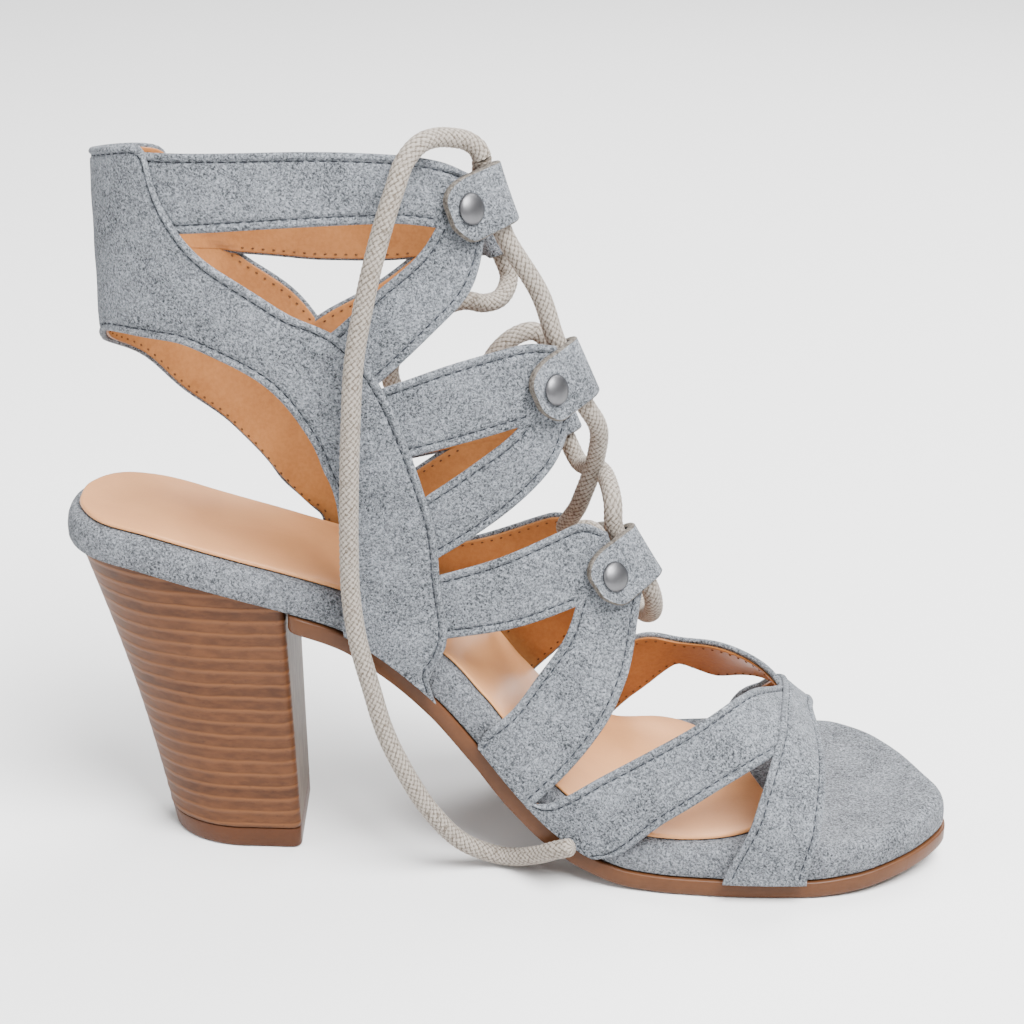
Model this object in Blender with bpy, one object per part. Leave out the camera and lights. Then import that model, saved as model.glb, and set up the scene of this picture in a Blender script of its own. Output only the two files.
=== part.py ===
"""Caged heel sandal, left foot: a strapped upper on a wrapped footbed, a stacked block heel and a round lace.

Lengths are in millimetres in the tables and become metres when a mesh is made. X runs from the back of the
footbed to the toe, Y to the wearer's left (the outer side of this shoe) and Z up from the floor.
"""

import math

import bmesh
import bpy
import numpy as np

MM = 0.001

# Sole. Edges of the footbed seen from above: x, inner (medial) edge, outer (lateral) edge.
FOOTBED_PLAN = [
    (0.0, -4.0, 4.0),
    (1.0, -9.0, 9.0),
    (3.5, -14.5, 14.5),
    (8.0, -19.5, 19.5),
    (16.0, -23.3, 22.6),
    (28.0, -25.3, 23.4),
    (45.0, -25.5, 23.0),
    (62.0, -24.4, 23.4),
    (80.0, -23.4, 25.2),
    (100.0, -24.4, 29.0),
    (120.0, -28.4, 33.0),
    (140.0, -33.8, 38.0),
    (160.0, -37.2, 41.8),
    (178.0, -38.2, 43.6),
    (194.0, -37.4, 43.2),
    (206.0, -34.8, 42.0),
    (216.0, -29.8, 33.6),
    (224.0, -23.8, 18.5),
    (229.0, -18.2, 2.5),
    (231.4, -14.4, -5.6),
    (232.0, -12.0, -9.0),
]
# Seen from the side: x, height of the footbed's underside above the floor.
SOLE_LINE = [
    (0.0, 82.5),
    (18.0, 80.5),
    (36.0, 76.0),
    (57.0, 70.2),
    (72.0, 65.0),
    (84.0, 57.4),
    (96.0, 47.4),
    (107.0, 35.4),
    (118.0, 22.6),
    (127.0, 14.2),
    (137.0, 8.2),
    (148.0, 5.0),
    (160.0, 4.5),
    (192.0, 4.5),
    (206.0, 5.4),
    (218.0, 7.0),
    (232.0, 9.6),
]
TOE_TIP = 232.0
FLAT_FROM = 150.0
OUTSOLE_THICK = 4.5
OUTSOLE_EDGE = 0.6
OUTSOLE_ROUND = 0.6
FOOTBED_THICK = 9.0
FOOTBED_ROUND = 4.0
GAP = 0.3
# The insole's front end is slanted: it reaches further forward on the inner side, under the toe band.
INSOLE_THICK = 1.2
INSOLE_ROUND = 0.5
INSOLE_INSET = 3.2
INSOLE_END = 182.0
INSOLE_SLANT = 0.26
INSOLE_SLANT_FROM = 152.0
INSOLE_TOE_LENGTH = 26.0
INSOLE_TOE_SHARE = 0.35
INSOLE_HEEL_LENGTH = 9.0
INSOLE_HEEL_SHARE = 0.45
# Places for cross-sections, closer together at the rounded ends and where the sole bends.
HEEL_STATIONS = [0.0, 0.6, 2.0, 4.5, 8.5, 15.0, 24.0]
BODY_STATIONS = [36.0, 48.0, 60.0, 72.0, 84.0, 93.0, 101.0, 109.0, 117.0, 125.0, 134.0, 144.0, 156.0, 170.0]
TOE_STATIONS = [184.0, 196.0, 205.0, 212.0, 218.0, 223.0, 226.5, 229.0, 230.8, 231.7, 232.0]
STATION_GAP = 0.4

# Block heel. The back leans forward and is slightly hollow; the breast is almost upright.
HEEL_HEIGHT = 80.0
HEEL_TOP_BACK = 2.0
HEEL_TOP_FRONT = 57.2
HEEL_FLOOR_BACK = 26.6
HEEL_FLOOR_FRONT = 61.4
HEEL_FLOOR_WIDTH = 35.0
HEEL_SEAT_HALF = 23.4
HEEL_HOLLOW = 1.8
HEEL_WAIST = 0.8
HEEL_STRAIGHT = 0.42
HEEL_CORNER = 2.5
HEEL_BACK_POINTS = 20
HEEL_LEVELS = 9
HEEL_CLEAR = 1.2
TOP_PIECE_HEIGHT = 5.5

# The last: sections fanned out from the ankle to the toe. ridge is the top of the instep, wide the
# broadest point and low the heel's back or the foot of the wall, all seen from the side. half is the
# half width, closed is 1 where the section meets itself behind the heel. inner and outer are how square
# the section is on that side: 2 is an ellipse, and the outer side falls away more than the inner.
LAST_ROWS = [
    # ridge x, z      wide x, z       low x, z       half   closed inner outer
    (109.0, 202.0, 56.0, 200.0, 10.2, 197.0, 24.0, 1.0, 2.5, 2.5),
    (113.0, 184.0, 57.0, 180.0, 10.7, 177.0, 25.5, 1.0, 2.5, 2.5),
    (121.0, 164.0, 60.0, 158.0, 11.6, 156.0, 27.0, 1.0, 2.5, 2.5),
    (131.0, 143.0, 63.0, 136.0, 12.4, 135.0, 28.0, 1.0, 2.5, 2.5),
    (139.0, 124.0, 68.0, 108.0, 16.0, 112.0, 27.5, 0.9, 2.5, 2.4),
    (146.5, 105.0, 76.0, 76.0, 60.0, 68.0, 25.0, 0.3, 2.5, 2.3),
    (153.5, 86.0, 97.0, 51.5, 93.0, 40.0, 25.0, 0.0, 2.5, 2.2),
    (161.0, 71.0, 119.0, 26.5, 116.0, 14.0, 29.0, 0.0, 2.6, 2.1),
    (172.0, 56.0, 143.0, 11.0, 142.0, 1.0, 35.0, 0.0, 2.7, 2.0),
    (186.0, 41.0, 170.0, 9.5, 170.0, 1.0, 39.0, 0.0, 3.0, 2.0),
    (198.0, 29.5, 192.0, 9.5, 192.0, 1.0, 39.0, 0.0, 3.0, 2.0),
    (207.0, 22.0, 207.0, 9.5, 207.0, 1.0, 36.0, 0.0, 3.0, 2.0),
]
LAST_COLUMNS = "ridge_x ridge_z wide_x wide_z low_x low_z half closed inner outer".split()
LAST_CLEAR = 0.7
BESIDE = 9.0
PLACE_STEP = np.array([0.02, 0.3])
WALK_STEP = 1.5

# Straps. A pin is (x, z) seen from the side, or (x, None, y) seen from above.
STRAP_THICK = 2.0
STRAP_LIFT = 0.5
OUTER_LIFT = 0.25
PANEL_LIFT = 1.0
PANEL_THICK = 2.2
SOLE_GAP = 0.6
ACROSS = (0.0, 0.25, 0.5, 0.75, 1.0)
# Each row of a strap is one line across it, from its upper or front edge to its lower or rear edge.
# The quarters run from the inner side's sole, up and round behind the heel, to the outer side's sole.
QUARTER_INNER = [
    (("sole", 96.5), ("sole", 72.5)),
    ((97.0, 59.0), (72.4, 76.0)),
    ((97.2, 76.0), (72.0, 88.0)),
    ((94.5, 97.0), (70.5, 103.0)),
    ((89.0, 115.0), (66.5, 114.0)),
    ((83.0, 130.0), (60.5, 125.0)),
    ((72.0, 145.0), (53.0, 133.0)),
    ((52.0, 155.0), (42.0, 138.5)),
    ((36.0, 165.0), (31.0, 141.5)),
    ((27.5, 177.5), (21.0, 141.0)),
    ((23.5, 189.0), (14.5, 139.5)),
    (("back", 183.5), ("back", 134.0)),
]
QUARTER_OUTER = [
    ((24.0, 179.5), (19.0, 126.0)),
    ((28.0, 168.0), (28.0, 115.0)),
    ((40.0, 152.0), (40.0, 104.5)),
    ((58.0, 138.0), (49.0, 95.0)),
    ((72.0, 122.0), (56.0, 86.0)),
    ((81.0, 102.0), (61.0, 80.0)),
    ((86.5, 80.0), (63.5, 77.5)),
    ((88.0, 64.0), (64.0, 73.5)),
    (("sole", 88.5), ("sole", 64.0)),
]
ANKLE_STRAP = [
    ((20.0, 186.5), (25.0, 167.0)),
    ((54.0, 189.5), (58.0, 171.5)),
    ((82.0, 189.5), (82.0, 173.0)),
    ((94.0, 187.5), (95.0, 171.5)),
    ((101.0, 184.0), (105.0, 169.0)),
]
ANKLE_OUTER = [
    ((20.0, 177.0), (25.0, 152.0)),
    ((54.0, 176.0), (56.0, 148.5)),
    ((80.0, 172.0), (80.0, 148.5)),
    ((92.0, 169.5), (93.0, 150.5)),
    ((100.0, 167.5), (104.0, 152.5)),
]
TOP_DIAGONAL = [
    ((62.0, 141.0), (72.0, 126.0)),
    ((79.0, 156.0), (93.0, 146.0)),
    ((90.0, 166.0), (102.5, 157.0)),
    ((97.0, 179.5), (105.0, 169.3)),
]
TOP_DIAGONAL_OUTER = [
    ((52.0, 124.0), (64.0, 110.0)),
    ((72.0, 139.0), (86.0, 127.0)),
    ((85.0, 149.0), (98.5, 139.5)),
    ((96.0, 162.5), (104.0, 152.8)),
]
MIDDLE_UPPER = [
    ((74.0, 130.0), (78.0, 112.0)),
    ((101.0, 139.5), (104.0, 119.0)),
    ((115.0, 142.5), (117.0, 122.5)),
    ((123.0, 141.0), (128.0, 126.0)),
]
MIDDLE_LOWER = [
    ((84.0, 98.0), (88.0, 82.0)),
    ((105.0, 113.5), (110.0, 97.0)),
    ((115.0, 122.0), (124.0, 111.5)),
    ((119.5, 135.5), (128.0, 126.3)),
]
MIDDLE_LOWER_OUTER = [
    ((78.0, 84.0), (84.0, 63.0)), ((94.0, 96.5), (104.0, 79.0)), ((106.0, 105.0), (118.0, 92.5)),
    ((115.5, 114.5), (124.0, 105.3)),
]
LOWER_UPPER = [
    ((88.0, 80.0), (88.0, 63.0)),
    ((114.0, 88.0), (117.0, 68.5)),
    ((130.0, 95.0), (132.0, 74.0)),
    ((138.0, 92.0), (143.5, 78.5)),
]
LOWER_DIAGONAL = [
    (("sole", 107.5), ("sole", 121.0)),
    ((114.0, 44.5), (129.5, 29.5)),
    ((122.0, 55.5), (138.8, 42.0)),
    ((128.5, 65.5), (145.0, 56.0)),
    ((133.0, 84.0), (147.6, 76.5)),
]
LOWER_DIAGONAL_OUTER = [
    (("sole", 104.0), ("sole", 118.5)),
    ((110.5, 41.0), (122.0, 28.5)),
    ((117.0, 48.0), (129.5, 37.0)),
    ((123.0, 56.0), (137.0, 47.0)),
    ((129.0, 70.0), (139.5, 64.8)),
]
V_STRAP = [
    (("sole", 117.5), ("sole", 138.0)),
    ((131.0, 25.0), (149.0, 14.5)),
    ((150.6, 37.5), (161.3, 24.2)),
    ((165.0, None, -27.6), (172.0, None, -34.9)),
    ((178.5, None, -13.5), (184.0, None, -28.3)),
    ((188.0, None, 6.0), (195.0, None, -10.0)),
]
V_STRAP_OUTER = [
    (("sole", 114.5), ("sole", 135.0)),
    ((127.0, 26.0), (144.0, 12.5)),
    ((141.0, 36.0), (154.0, 22.5)),
    ((152.8, 43.0), (164.0, 32.5)),
    ((163.7, None, 28.4), (173.5, None, 36.5)),
    ((172.1, None, 24.7), (181.0, None, 33.0)),
    ((180.5, None, 18.0), (187.5, None, 25.0)),
    ((187.5, None, 3.0), (193.0, None, 13.0)),
]
TOE_BAND_INNER = [
    (("sole", 171.0), ("sole", 192.5)),
    ((175.4, 16.5), (194.7, 16.5)),
    ((179.3, None, -35.9), (195.4, None, -34.2)),
    ((182.0, None, -29.5), (195.8, None, -27.0)),
    ((184.6, None, -15.0), (196.0, None, -13.6)),
]
TOE_BAND_OUTER = [
    ((186.8, None, 2.0), (195.4, None, 3.0)),
    ((187.6, None, 16.0), (197.4, None, 17.0)),
    ((187.2, None, 30.0), (198.4, None, 30.0)),
    ((185.0, None, 38.5), (198.2, None, 38.0)),
    ((179.5, 16.5), (197.0, 16.5)),
    (("sole", 176.0), ("sole", 196.0)),
]
# The outer side's straps sit lower than the inner side's, because the throat runs outside the instep.
TOP_DROP = (-0.5, -16.0)
MIDDLE_DROP = (-4.0, -21.0)
LOWER_DROP = (-4.0, -14.0)

# Lace tabs: where the inner side's stud sits, how far the outer one drops, how far the fold leans forward.
TAB_STUDS = [
    ("top", (100.5, 176.0), TOP_DROP, 0.36),
    ("middle", (122.2, 131.0), MIDDLE_DROP, 0.5),
    ("lower", (139.5, 81.0), LOWER_DROP, 0.65),
]
TAB_REAR = 5.8
TAB_FOLD = 8.2
TAB_HALF = 7.7
TAB_THICK = 2.0
TAB_LEAF = 4.4
TAB_INNER_LEAF = -1.4
TAB_INNER_END = 0.5
TAB_RISE = 4.2
TAB_RETURN = 4.6
TAB_RETURN_DIP = 0.7
STUD_RADIUS = 4.0
STUD_HEIGHT = 2.1
CORD_RADIUS = 2.4
CORD_LEVEL = 0.6
CORD_CLEAR = 0.7

# The lace: route points between the tabs that it runs through.
TUNNEL = 8.8
LACE_ROUTE = {
    "top_outer to middle_outer": [
        (112.0, 19.5, 147.5),
        (110.0, 15.0, 143.5),
        (105.5, 11.0, 143.0),
        (101.5, 8.0, 144.5),
        (93.0, 5.0, 142.5),
        (85.0, 5.0, 134.0),
        (82.0, 6.0, 126.0),
        (86.0, 7.0, 117.0),
        (95.5, 7.0, 115.0),
        (104.5, 8.0, 122.0),
        (110.0, 9.0, 131.5),
        (113.5, 10.0, 134.5),
        (118.5, 11.0, 136.0),
        (123.0, 13.0, 132.0),
    ],
    "middle_outer to lower_inner": [
        (132.0, 15.0, 99.0),
        (135.5, 7.0, 101.0),
        (138.5, -6.0, 102.0),
        (139.8, -14.0, 98.5),
    ],
    "lower_inner to lower_outer": [
        (152.0, -2.0, 64.0),
        (150.0, 8.0, 60.0),
    ],
    "lower_outer to middle_inner": [
        (129.5, 14.0, 80.0),
        (132.0, 3.0, 92.0),
        (135.5, -4.0, 108.0),
        (135.5, -9.0, 117.0),
    ],
    "middle_inner to top_inner": [
        (120.2, -14.0, 151.6),
    ],
}
# The loose end: up out of the inner top tab, over in a loop, down outside the quarter to the floor under
# the arch, and forward until its tip leans on the outsole's edge.
LACE_END_ROUTE = [
    (104.3, -16.6, 187.6),
    (103.2, -16.8, 189.8),
    (100.6, -17.7, 191.8),
    (97.4, -20.2, 193.0),
    (93.3, -24.0, 193.8),
    (89.7, -28.0, 193.2),
    (86.4, -31.5, 189.9),
    (84.1, -34.0, 183.5),
    (80.9, -35.5, 172.4),
    (77.5, -36.5, 157.1),
    (75.1, -36.5, 141.9),
    (74.4, -36.5, 126.4),
    (74.1, -35.5, 110.5),
    (74.1, -34.0, 93.8),
    (74.8, -32.5, 77.3),
    (76.5, -32.0, 66.5),
    (80.0, -32.0, 53.6),
    (83.6, -32.0, 41.6),
    (88.9, -31.5, 30.0),
    (96.0, -30.0, 17.8),
    (104.7, -27.0, 7.7),
    (115.0, -24.8, 3.0),
    (123.5, -31.0, 7.0),
    (128.5, -36.0, 11.3),
    (132.5, -38.4, 13.6),
]


def smooth(rows):
    """A curve through rows of (where, value, value, ...) that never swings past its points."""
    table = np.array(rows, float)
    where, value = table[:, 0], table[:, 1:]
    step = np.diff(where)
    slope = np.diff(value, axis=0) / step[:, None]
    before, after = slope[:-1], slope[1:]
    same_way = before * after > 0
    mean = 2 * before * after / np.where(same_way, before + after, 1.0)
    tangent = np.vstack([slope[:1], np.where(same_way, mean, 0.0), slope[-1:]])

    def at(place):
        i = int(np.clip(np.searchsorted(where, place) - 1, 0, len(step) - 1))
        t = (place - where[i]) / step[i]
        rise = value[i + 1] - value[i]
        a = tangent[i] * step[i] - rise
        b = rise - tangent[i + 1] * step[i]
        return value[i] + t * rise + t * (1 - t) * (a * (1 - t) + b * t)

    return at


plan = smooth(FOOTBED_PLAN)
sole_height = smooth(SOLE_LINE)
last_row = smooth([(i, *row) for i, row in enumerate(LAST_ROWS)])


def sole_z(x):
    return float(sole_height(x)[0])


def sole_slant(x):
    """How much longer a vertical through the sole is than its thickness, where the sole slopes."""
    return math.hypot(1.0, (sole_z(x + 1.0) - sole_z(x - 1.0)) / 2.0)


def footbed_top(x):
    return sole_z(x) + FOOTBED_THICK * sole_slant(x)


def last_point(s, turn):
    """The point of the last at section s, turned from the ridge (0) to the wall's foot or the heel (180)."""
    if abs(turn) > 180.0:
        turn -= math.copysign(360.0, turn)
    row = dict(zip(LAST_COLUMNS, last_row(s)))
    side = math.copysign(1.0, turn)
    angle = math.radians(abs(turn))
    sole_half = abs(plan(row["wide_x"])[int(side > 0)]) + LAST_CLEAR
    half = row["closed"] * row["half"] + (1.0 - row["closed"]) * sole_half
    power = 2.0 / row["outer" if side > 0 else "inner"]
    if abs(turn) <= 90.0:
        along = 1.0 - abs(math.cos(angle)) ** power
        across = abs(math.sin(angle)) ** power
        x = row["ridge_x"] + (row["wide_x"] - row["ridge_x"]) * along
        z = row["ridge_z"] + (row["wide_z"] - row["ridge_z"]) * along
    else:
        past = angle - math.pi / 2
        along = (1.0 - row["closed"]) * past / (math.pi / 2) + row["closed"] * math.sin(past)
        across = 1.0 - row["closed"] + row["closed"] * math.cos(past)
        x = row["wide_x"] + (row["low_x"] - row["wide_x"]) * along
        z = row["wide_z"] + (row["low_z"] - row["wide_z"]) * along
    y = half * across
    # Beside the footbed the wall stands clear of its edge.
    beside = min(max((footbed_top(x) + BESIDE - z) / BESIDE, 0.0), 1.0)
    y += max(abs(plan(x)[int(side > 0)]) + LAST_CLEAR - y, 0.0) * beside
    return np.array([x, side * y, z])


def last_normal(s, turn):
    """Outward direction of the last at (s, turn)."""
    by_s = last_point(s + 0.05, turn) - last_point(s - 0.05, turn)
    by_turn = last_point(s, turn + 1.5) - last_point(s, turn - 1.5)
    normal = np.cross(by_s, by_turn)
    return normal / np.linalg.norm(normal)


def last_slopes(place):
    """How a point of the last moves with s and with turn, as the columns of a matrix."""
    ahead = [last_point(*(place + PLACE_STEP * axis)) for axis in np.eye(2)]
    behind = [last_point(*(place - PLACE_STEP * axis)) for axis in np.eye(2)]
    return (np.array(ahead) - np.array(behind)).T / (2 * PLACE_STEP)


def off_last(place, lift):
    return last_point(*place) + last_normal(*place) * lift


GRID = [(s, turn) for s in np.arange(0.0, 11.01, 0.25) for turn in np.arange(4.0, 179.0, 5.0)]


def pin_place(pin, side):
    """(s, turn) of a pin on one side of the last: -1 is the inner side, +1 the outer."""
    if pin[0] == "back":
        low, high = 0.0, 5.0
        for _ in range(40):
            middle = (low + high) / 2
            low, high = (middle, high) if last_row(middle)[5] > pin[1] else (low, middle)
        return np.array([low, side * 180.0])
    if pin[0] == "sole":
        pin = (pin[1], sole_z(pin[1]) + SOLE_GAP)
    if len(pin) == 2:
        keep, goal = [0, 2], np.array(pin)
    else:
        keep, goal = [0, 1], np.array([pin[0], pin[2]])
        side = math.copysign(1.0, pin[2])
    grid = [(s, side * turn) for s, turn in GRID if len(pin) == 2 or turn <= 90.0]
    place = np.array(min(grid, key=lambda p: np.linalg.norm(last_point(*p)[keep] - goal)))
    for _ in range(30):
        miss = goal - last_point(*place)[keep]
        move = np.linalg.lstsq(last_slopes(place)[keep], miss, rcond=None)[0]
        place = place + np.clip(move, [-0.3, -6.0], [0.3, 6.0])
        place[0] = np.clip(place[0], 0.0, 11.0)
    return place


def places(rows, side):
    """Each row's places on the last, spread evenly from its upper pin to its lower pin."""
    table = []
    for upper, lower in rows:
        if upper[0] == "sole":
            pins = [("sole", upper[1] + (lower[1] - upper[1]) * share) for share in ACROSS]
            table.append([pin_place(pin, side) for pin in pins])
        else:
            first, last = pin_place(upper, side), pin_place(lower, side)
            table.append([first + (last - first) * share for share in ACROSS])
    return table


def lowered(rows, drop):
    """The same strap further down and back, for the outer side."""
    return [tuple((x + drop[0], z + drop[1]) for x, z in row) for row in rows]


def new_object(name, mesh_points, faces, material, collection=None):
    """A closed mesh in metres, facing out."""
    mesh = bpy.data.meshes.new(name)
    mesh.from_pydata([tuple(float(c) * MM for c in p) for p in mesh_points], [], faces)
    shaped = bmesh.new()
    shaped.from_mesh(mesh)
    bmesh.ops.recalc_face_normals(shaped, faces=shaped.faces)
    shaped.to_mesh(mesh)
    shaped.free()
    mesh.materials.append(material)
    made = bpy.data.objects.new(name, mesh)
    (collection or bpy.context.scene.collection).objects.link(made)
    return made


def skin(rings):
    """Points and faces of a tube of rings that all have the same number of points."""
    count = len(rings[0])
    points = [p for ring in rings for p in ring]
    faces = []
    for i in range(len(rings) - 1):
        for j in range(count):
            k = (j + 1) % count
            faces.append((i * count + j, i * count + k, (i + 1) * count + k, (i + 1) * count + j))
    faces.append(tuple(range(count))[::-1])
    faces.append(tuple(range((len(rings) - 1) * count, len(rings) * count)))
    return points, faces


def strap_rings(table, lift, thick, along):
    """Rings of a strap: each ring goes over the outer face and back under the inner face."""
    line_at = smooth([(i, *np.ravel(row)) for i, row in enumerate(table)])
    rings = []
    for u in np.linspace(0, len(table) - 1, along + 1):
        line = line_at(u).reshape(-1, 2)
        over = [off_last(place, lift + thick) for place in line]
        under = [off_last(place, lift) for place in reversed(line)]
        rings.append(over + under)
    return rings


def make_material(name, colour, roughness, metallic=0.0):
    material = bpy.data.materials.new(name)
    material.use_nodes = True
    shader = material.node_tree.nodes["Principled BSDF"]
    shader.inputs["Base Color"].default_value = (*colour, 1.0)
    shader.inputs["Roughness"].default_value = roughness
    shader.inputs["Metallic"].default_value = metallic
    material.diffuse_color = (*colour, 1.0)
    return material


def sole_rings(stations, inset, low, high, rounding):
    """Cross-sections of a sole piece, flat below and rounded along its upper edges."""
    rings = []
    for x in stations:
        inner, outer = plan(x)
        shrink = min(inset, (outer - inner) / 2 - 1.5)
        inner, outer = inner + shrink, outer - shrink
        r = min(rounding, (outer - inner) / 3)
        z0, z1 = low(x), high(x)
        rings.append(
            [
                (x, inner, z0),
                (x, inner, z1 - r),
                (x, inner + 0.3 * r, z1 - 0.3 * r),
                (x, inner + r, z1),
                (x, (inner + outer) / 2, z1),
                (x, outer - r, z1),
                (x, outer - 0.3 * r, z1 - 0.3 * r),
                (x, outer, z1 - r),
                (x, outer, z0),
                (x, (inner + outer) / 2, z0),
            ]
        )
    return rings


def stations_between(first, last):
    """The places for cross-sections from first to last, with those two."""
    listed = HEEL_STATIONS + BODY_STATIONS + TOE_STATIONS
    return [first, *(x for x in listed if first + STATION_GAP < x < last - STATION_GAP), last]


def make_outsole(material):
    def bottom(x):
        thick = OUTSOLE_THICK * sole_slant(x) if x < FLAT_FROM else OUTSOLE_THICK
        return max(sole_z(x) - thick, 0.0)

    stations = stations_between(HEEL_TOP_FRONT + HEEL_CLEAR, TOE_TIP)
    rings = sole_rings(stations, -OUTSOLE_EDGE, bottom, sole_z, OUTSOLE_ROUND)
    return new_object("outsole", *skin(rings), material)


def make_footbed(material):
    def bottom(x):
        return sole_z(x) + GAP

    stations = stations_between(0.0, TOE_TIP - GAP)
    rings = sole_rings(stations, 0.0, bottom, footbed_top, FOOTBED_ROUND)
    return new_object("footbed", *skin(rings), material)


def round_share(share):
    """How wide a round end is at this share of its length: 0 at the tip, 1 at its full width."""
    return math.sqrt(max(1.0 - (1.0 - min(share, 1.0)) ** 2, 0.0))


def make_insole(material):
    """The sock lining: round at the heel, and rounded off and slanted in front."""
    def bottom(x):
        return footbed_top(x) + GAP

    def top(x):
        return bottom(x) + INSOLE_THICK

    stations = stations_between(INSOLE_INSET, INSOLE_END)
    rings = []
    for ring, x in zip(sole_rings(stations, INSOLE_INSET, bottom, top, INSOLE_ROUND), stations):
        toe = round_share((INSOLE_END - x) / INSOLE_TOE_LENGTH)
        heel = round_share((x - INSOLE_INSET) / INSOLE_HEEL_LENGTH)
        squeeze = INSOLE_TOE_SHARE + (1.0 - INSOLE_TOE_SHARE) * toe
        squeeze *= INSOLE_HEEL_SHARE + (1.0 - INSOLE_HEEL_SHARE) * heel
        slant = INSOLE_SLANT * min(max((x - INSOLE_SLANT_FROM) / (INSOLE_END - INSOLE_SLANT_FROM), 0.0), 1.0)
        middle = sum(plan(x)) / 2
        off_middle = [(py - middle) * squeeze for _, py, _ in ring]
        rings.append([(x - slant * off, middle + off, pz) for off, (_, _, pz) in zip(off_middle, ring)])
    return new_object("insole", *skin(rings), material)


def heel_outline(t):
    """Outline of the heel at height share t (0 at the floor, 1 at the seat): (x, y) from breast to breast."""
    back = HEEL_FLOOR_BACK + (HEEL_TOP_BACK - HEEL_FLOOR_BACK) * t + HEEL_HOLLOW * math.sin(math.pi * t)
    front = HEEL_FLOOR_FRONT + (HEEL_TOP_FRONT - HEEL_FLOOR_FRONT) * t
    floor_half = HEEL_FLOOR_WIDTH / 2
    half = floor_half + (HEEL_SEAT_HALF - floor_half) * t - HEEL_WAIST * math.sin(math.pi * t)
    straight = (front - back) * HEEL_STRAIGHT
    bend = front - straight
    corner = [(front, half - HEEL_CORNER), (front - HEEL_CORNER, half)]
    side = [*corner, (front - straight / 2, half), (bend, half)]
    points = [(x, -y) for x, y in side]
    for i in range(1, HEEL_BACK_POINTS):
        a = math.pi * i / HEEL_BACK_POINTS
        points.append((bend - (bend - back) * math.sin(a), -half * math.cos(a)))
    return points + side[::-1]


def make_heel(material):
    floor = TOP_PIECE_HEIGHT + GAP
    seat = heel_outline(1.0)
    rings = []
    for t in np.linspace(0.0, 1.0, HEEL_LEVELS):
        outline = heel_outline((floor + (HEEL_HEIGHT - floor) * t) / HEEL_HEIGHT)
        heights = [floor + (sole_z(seat_x) - floor) * t for seat_x, _ in seat]
        rings.append([(x, y, height) for (x, y), height in zip(outline, heights)])
    return new_object("heel_block", *skin(rings), material)


def make_top_piece(material):
    low = [(x, y, 0.0) for x, y in heel_outline(0.0)]
    high = [(x, y, TOP_PIECE_HEIGHT) for x, y in heel_outline(TOP_PIECE_HEIGHT / HEEL_HEIGHT)]
    return new_object("heel_top_piece", *skin([low, high]), material)


def make_upper(material):
    """The cage: the quarters, with every other strap joined to them where they cross."""
    quarters = places(QUARTER_INNER, -1)
    for row in places(QUARTER_OUTER, 1):
        quarters.append([place - [0.0, 360.0] for place in row])
    upper = new_object("upper", *skin(strap_rings(quarters, PANEL_LIFT, PANEL_THICK, 40)), material)
    band = places(TOE_BAND_INNER, -1) + places(TOE_BAND_OUTER, 1)
    straps = [("toe_band", band, PANEL_LIFT, 26)]
    pairs = [
        ("ankle_strap", ANKLE_STRAP, ANKLE_OUTER, 0.0, 12),
        ("top_diagonal", TOP_DIAGONAL, TOP_DIAGONAL_OUTER, STRAP_LIFT, 9),
        ("middle_upper", MIDDLE_UPPER, lowered(MIDDLE_UPPER, MIDDLE_DROP), 0.0, 9),
        ("middle_lower", MIDDLE_LOWER, MIDDLE_LOWER_OUTER, STRAP_LIFT, 9),
        ("lower_upper", LOWER_UPPER, lowered(LOWER_UPPER, LOWER_DROP), 0.0, 9),
        ("lower_diagonal", LOWER_DIAGONAL, LOWER_DIAGONAL_OUTER, STRAP_LIFT, 12),
        ("v_strap", V_STRAP, V_STRAP_OUTER, 0.0, 16),
    ]
    for name, inner, outer, lift, along in pairs:
        straps.append((name + "_inner", places(inner, -1), lift, along))
        straps.append((name + "_outer", places(outer, 1), lift + OUTER_LIFT, along))
    helpers = bpy.data.collections.new("upper_straps")
    bpy.context.scene.collection.children.link(helpers)
    for name, table, lift, along in straps:
        new_object(name, *skin(strap_rings(table, lift, STRAP_THICK, along)), material, helpers)
    join = upper.modifiers.new("join", "BOOLEAN")
    join.operation = "UNION"
    join.operand_type = "COLLECTION"
    join.collection = helpers
    join.solver = "EXACT"
    graph = bpy.context.evaluated_depsgraph_get()
    upper.data = bpy.data.meshes.new_from_object(upper.evaluated_get(graph))
    upper.modifiers.clear()
    for strap in list(helpers.objects):
        bpy.data.objects.remove(strap)
    bpy.data.collections.remove(helpers)
    keep_largest(upper.data)
    return upper


def keep_largest(mesh):
    """Drops the crumbs that a union leaves where two straps' faces almost coincide."""
    shaped = bmesh.new()
    shaped.from_mesh(mesh)
    bmesh.ops.triangulate(shaped, faces=shaped.faces)
    left = set(shaped.faces)
    islands = []
    while left:
        island, border = [], [left.pop()]
        while border:
            face = border.pop()
            island.append(face)
            pairs = [edge.link_faces for edge in face.edges if len(edge.link_faces) == 2]
            joined = {other for pair in pairs for other in pair} & left
            left -= joined
            border.extend(joined)
        islands.append(island)
    islands.sort(key=len)
    crumbs = [face for island in islands[:-1] for face in island]
    bmesh.ops.delete(shaped, geom=crumbs, context="FACES")
    shaped.to_mesh(mesh)
    shaped.free()


def walk(place, way, length):
    """Goes straight over the last from a place: the place reached and the way there."""
    count = math.ceil(abs(length) / WALK_STEP)
    for _ in range(count):
        normal = last_normal(*place)
        way = way - normal * (way @ normal)
        way = way / np.linalg.norm(way)
        place = place + np.linalg.lstsq(last_slopes(place), way * length / count, rcond=None)[0]
    return place, way


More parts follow.
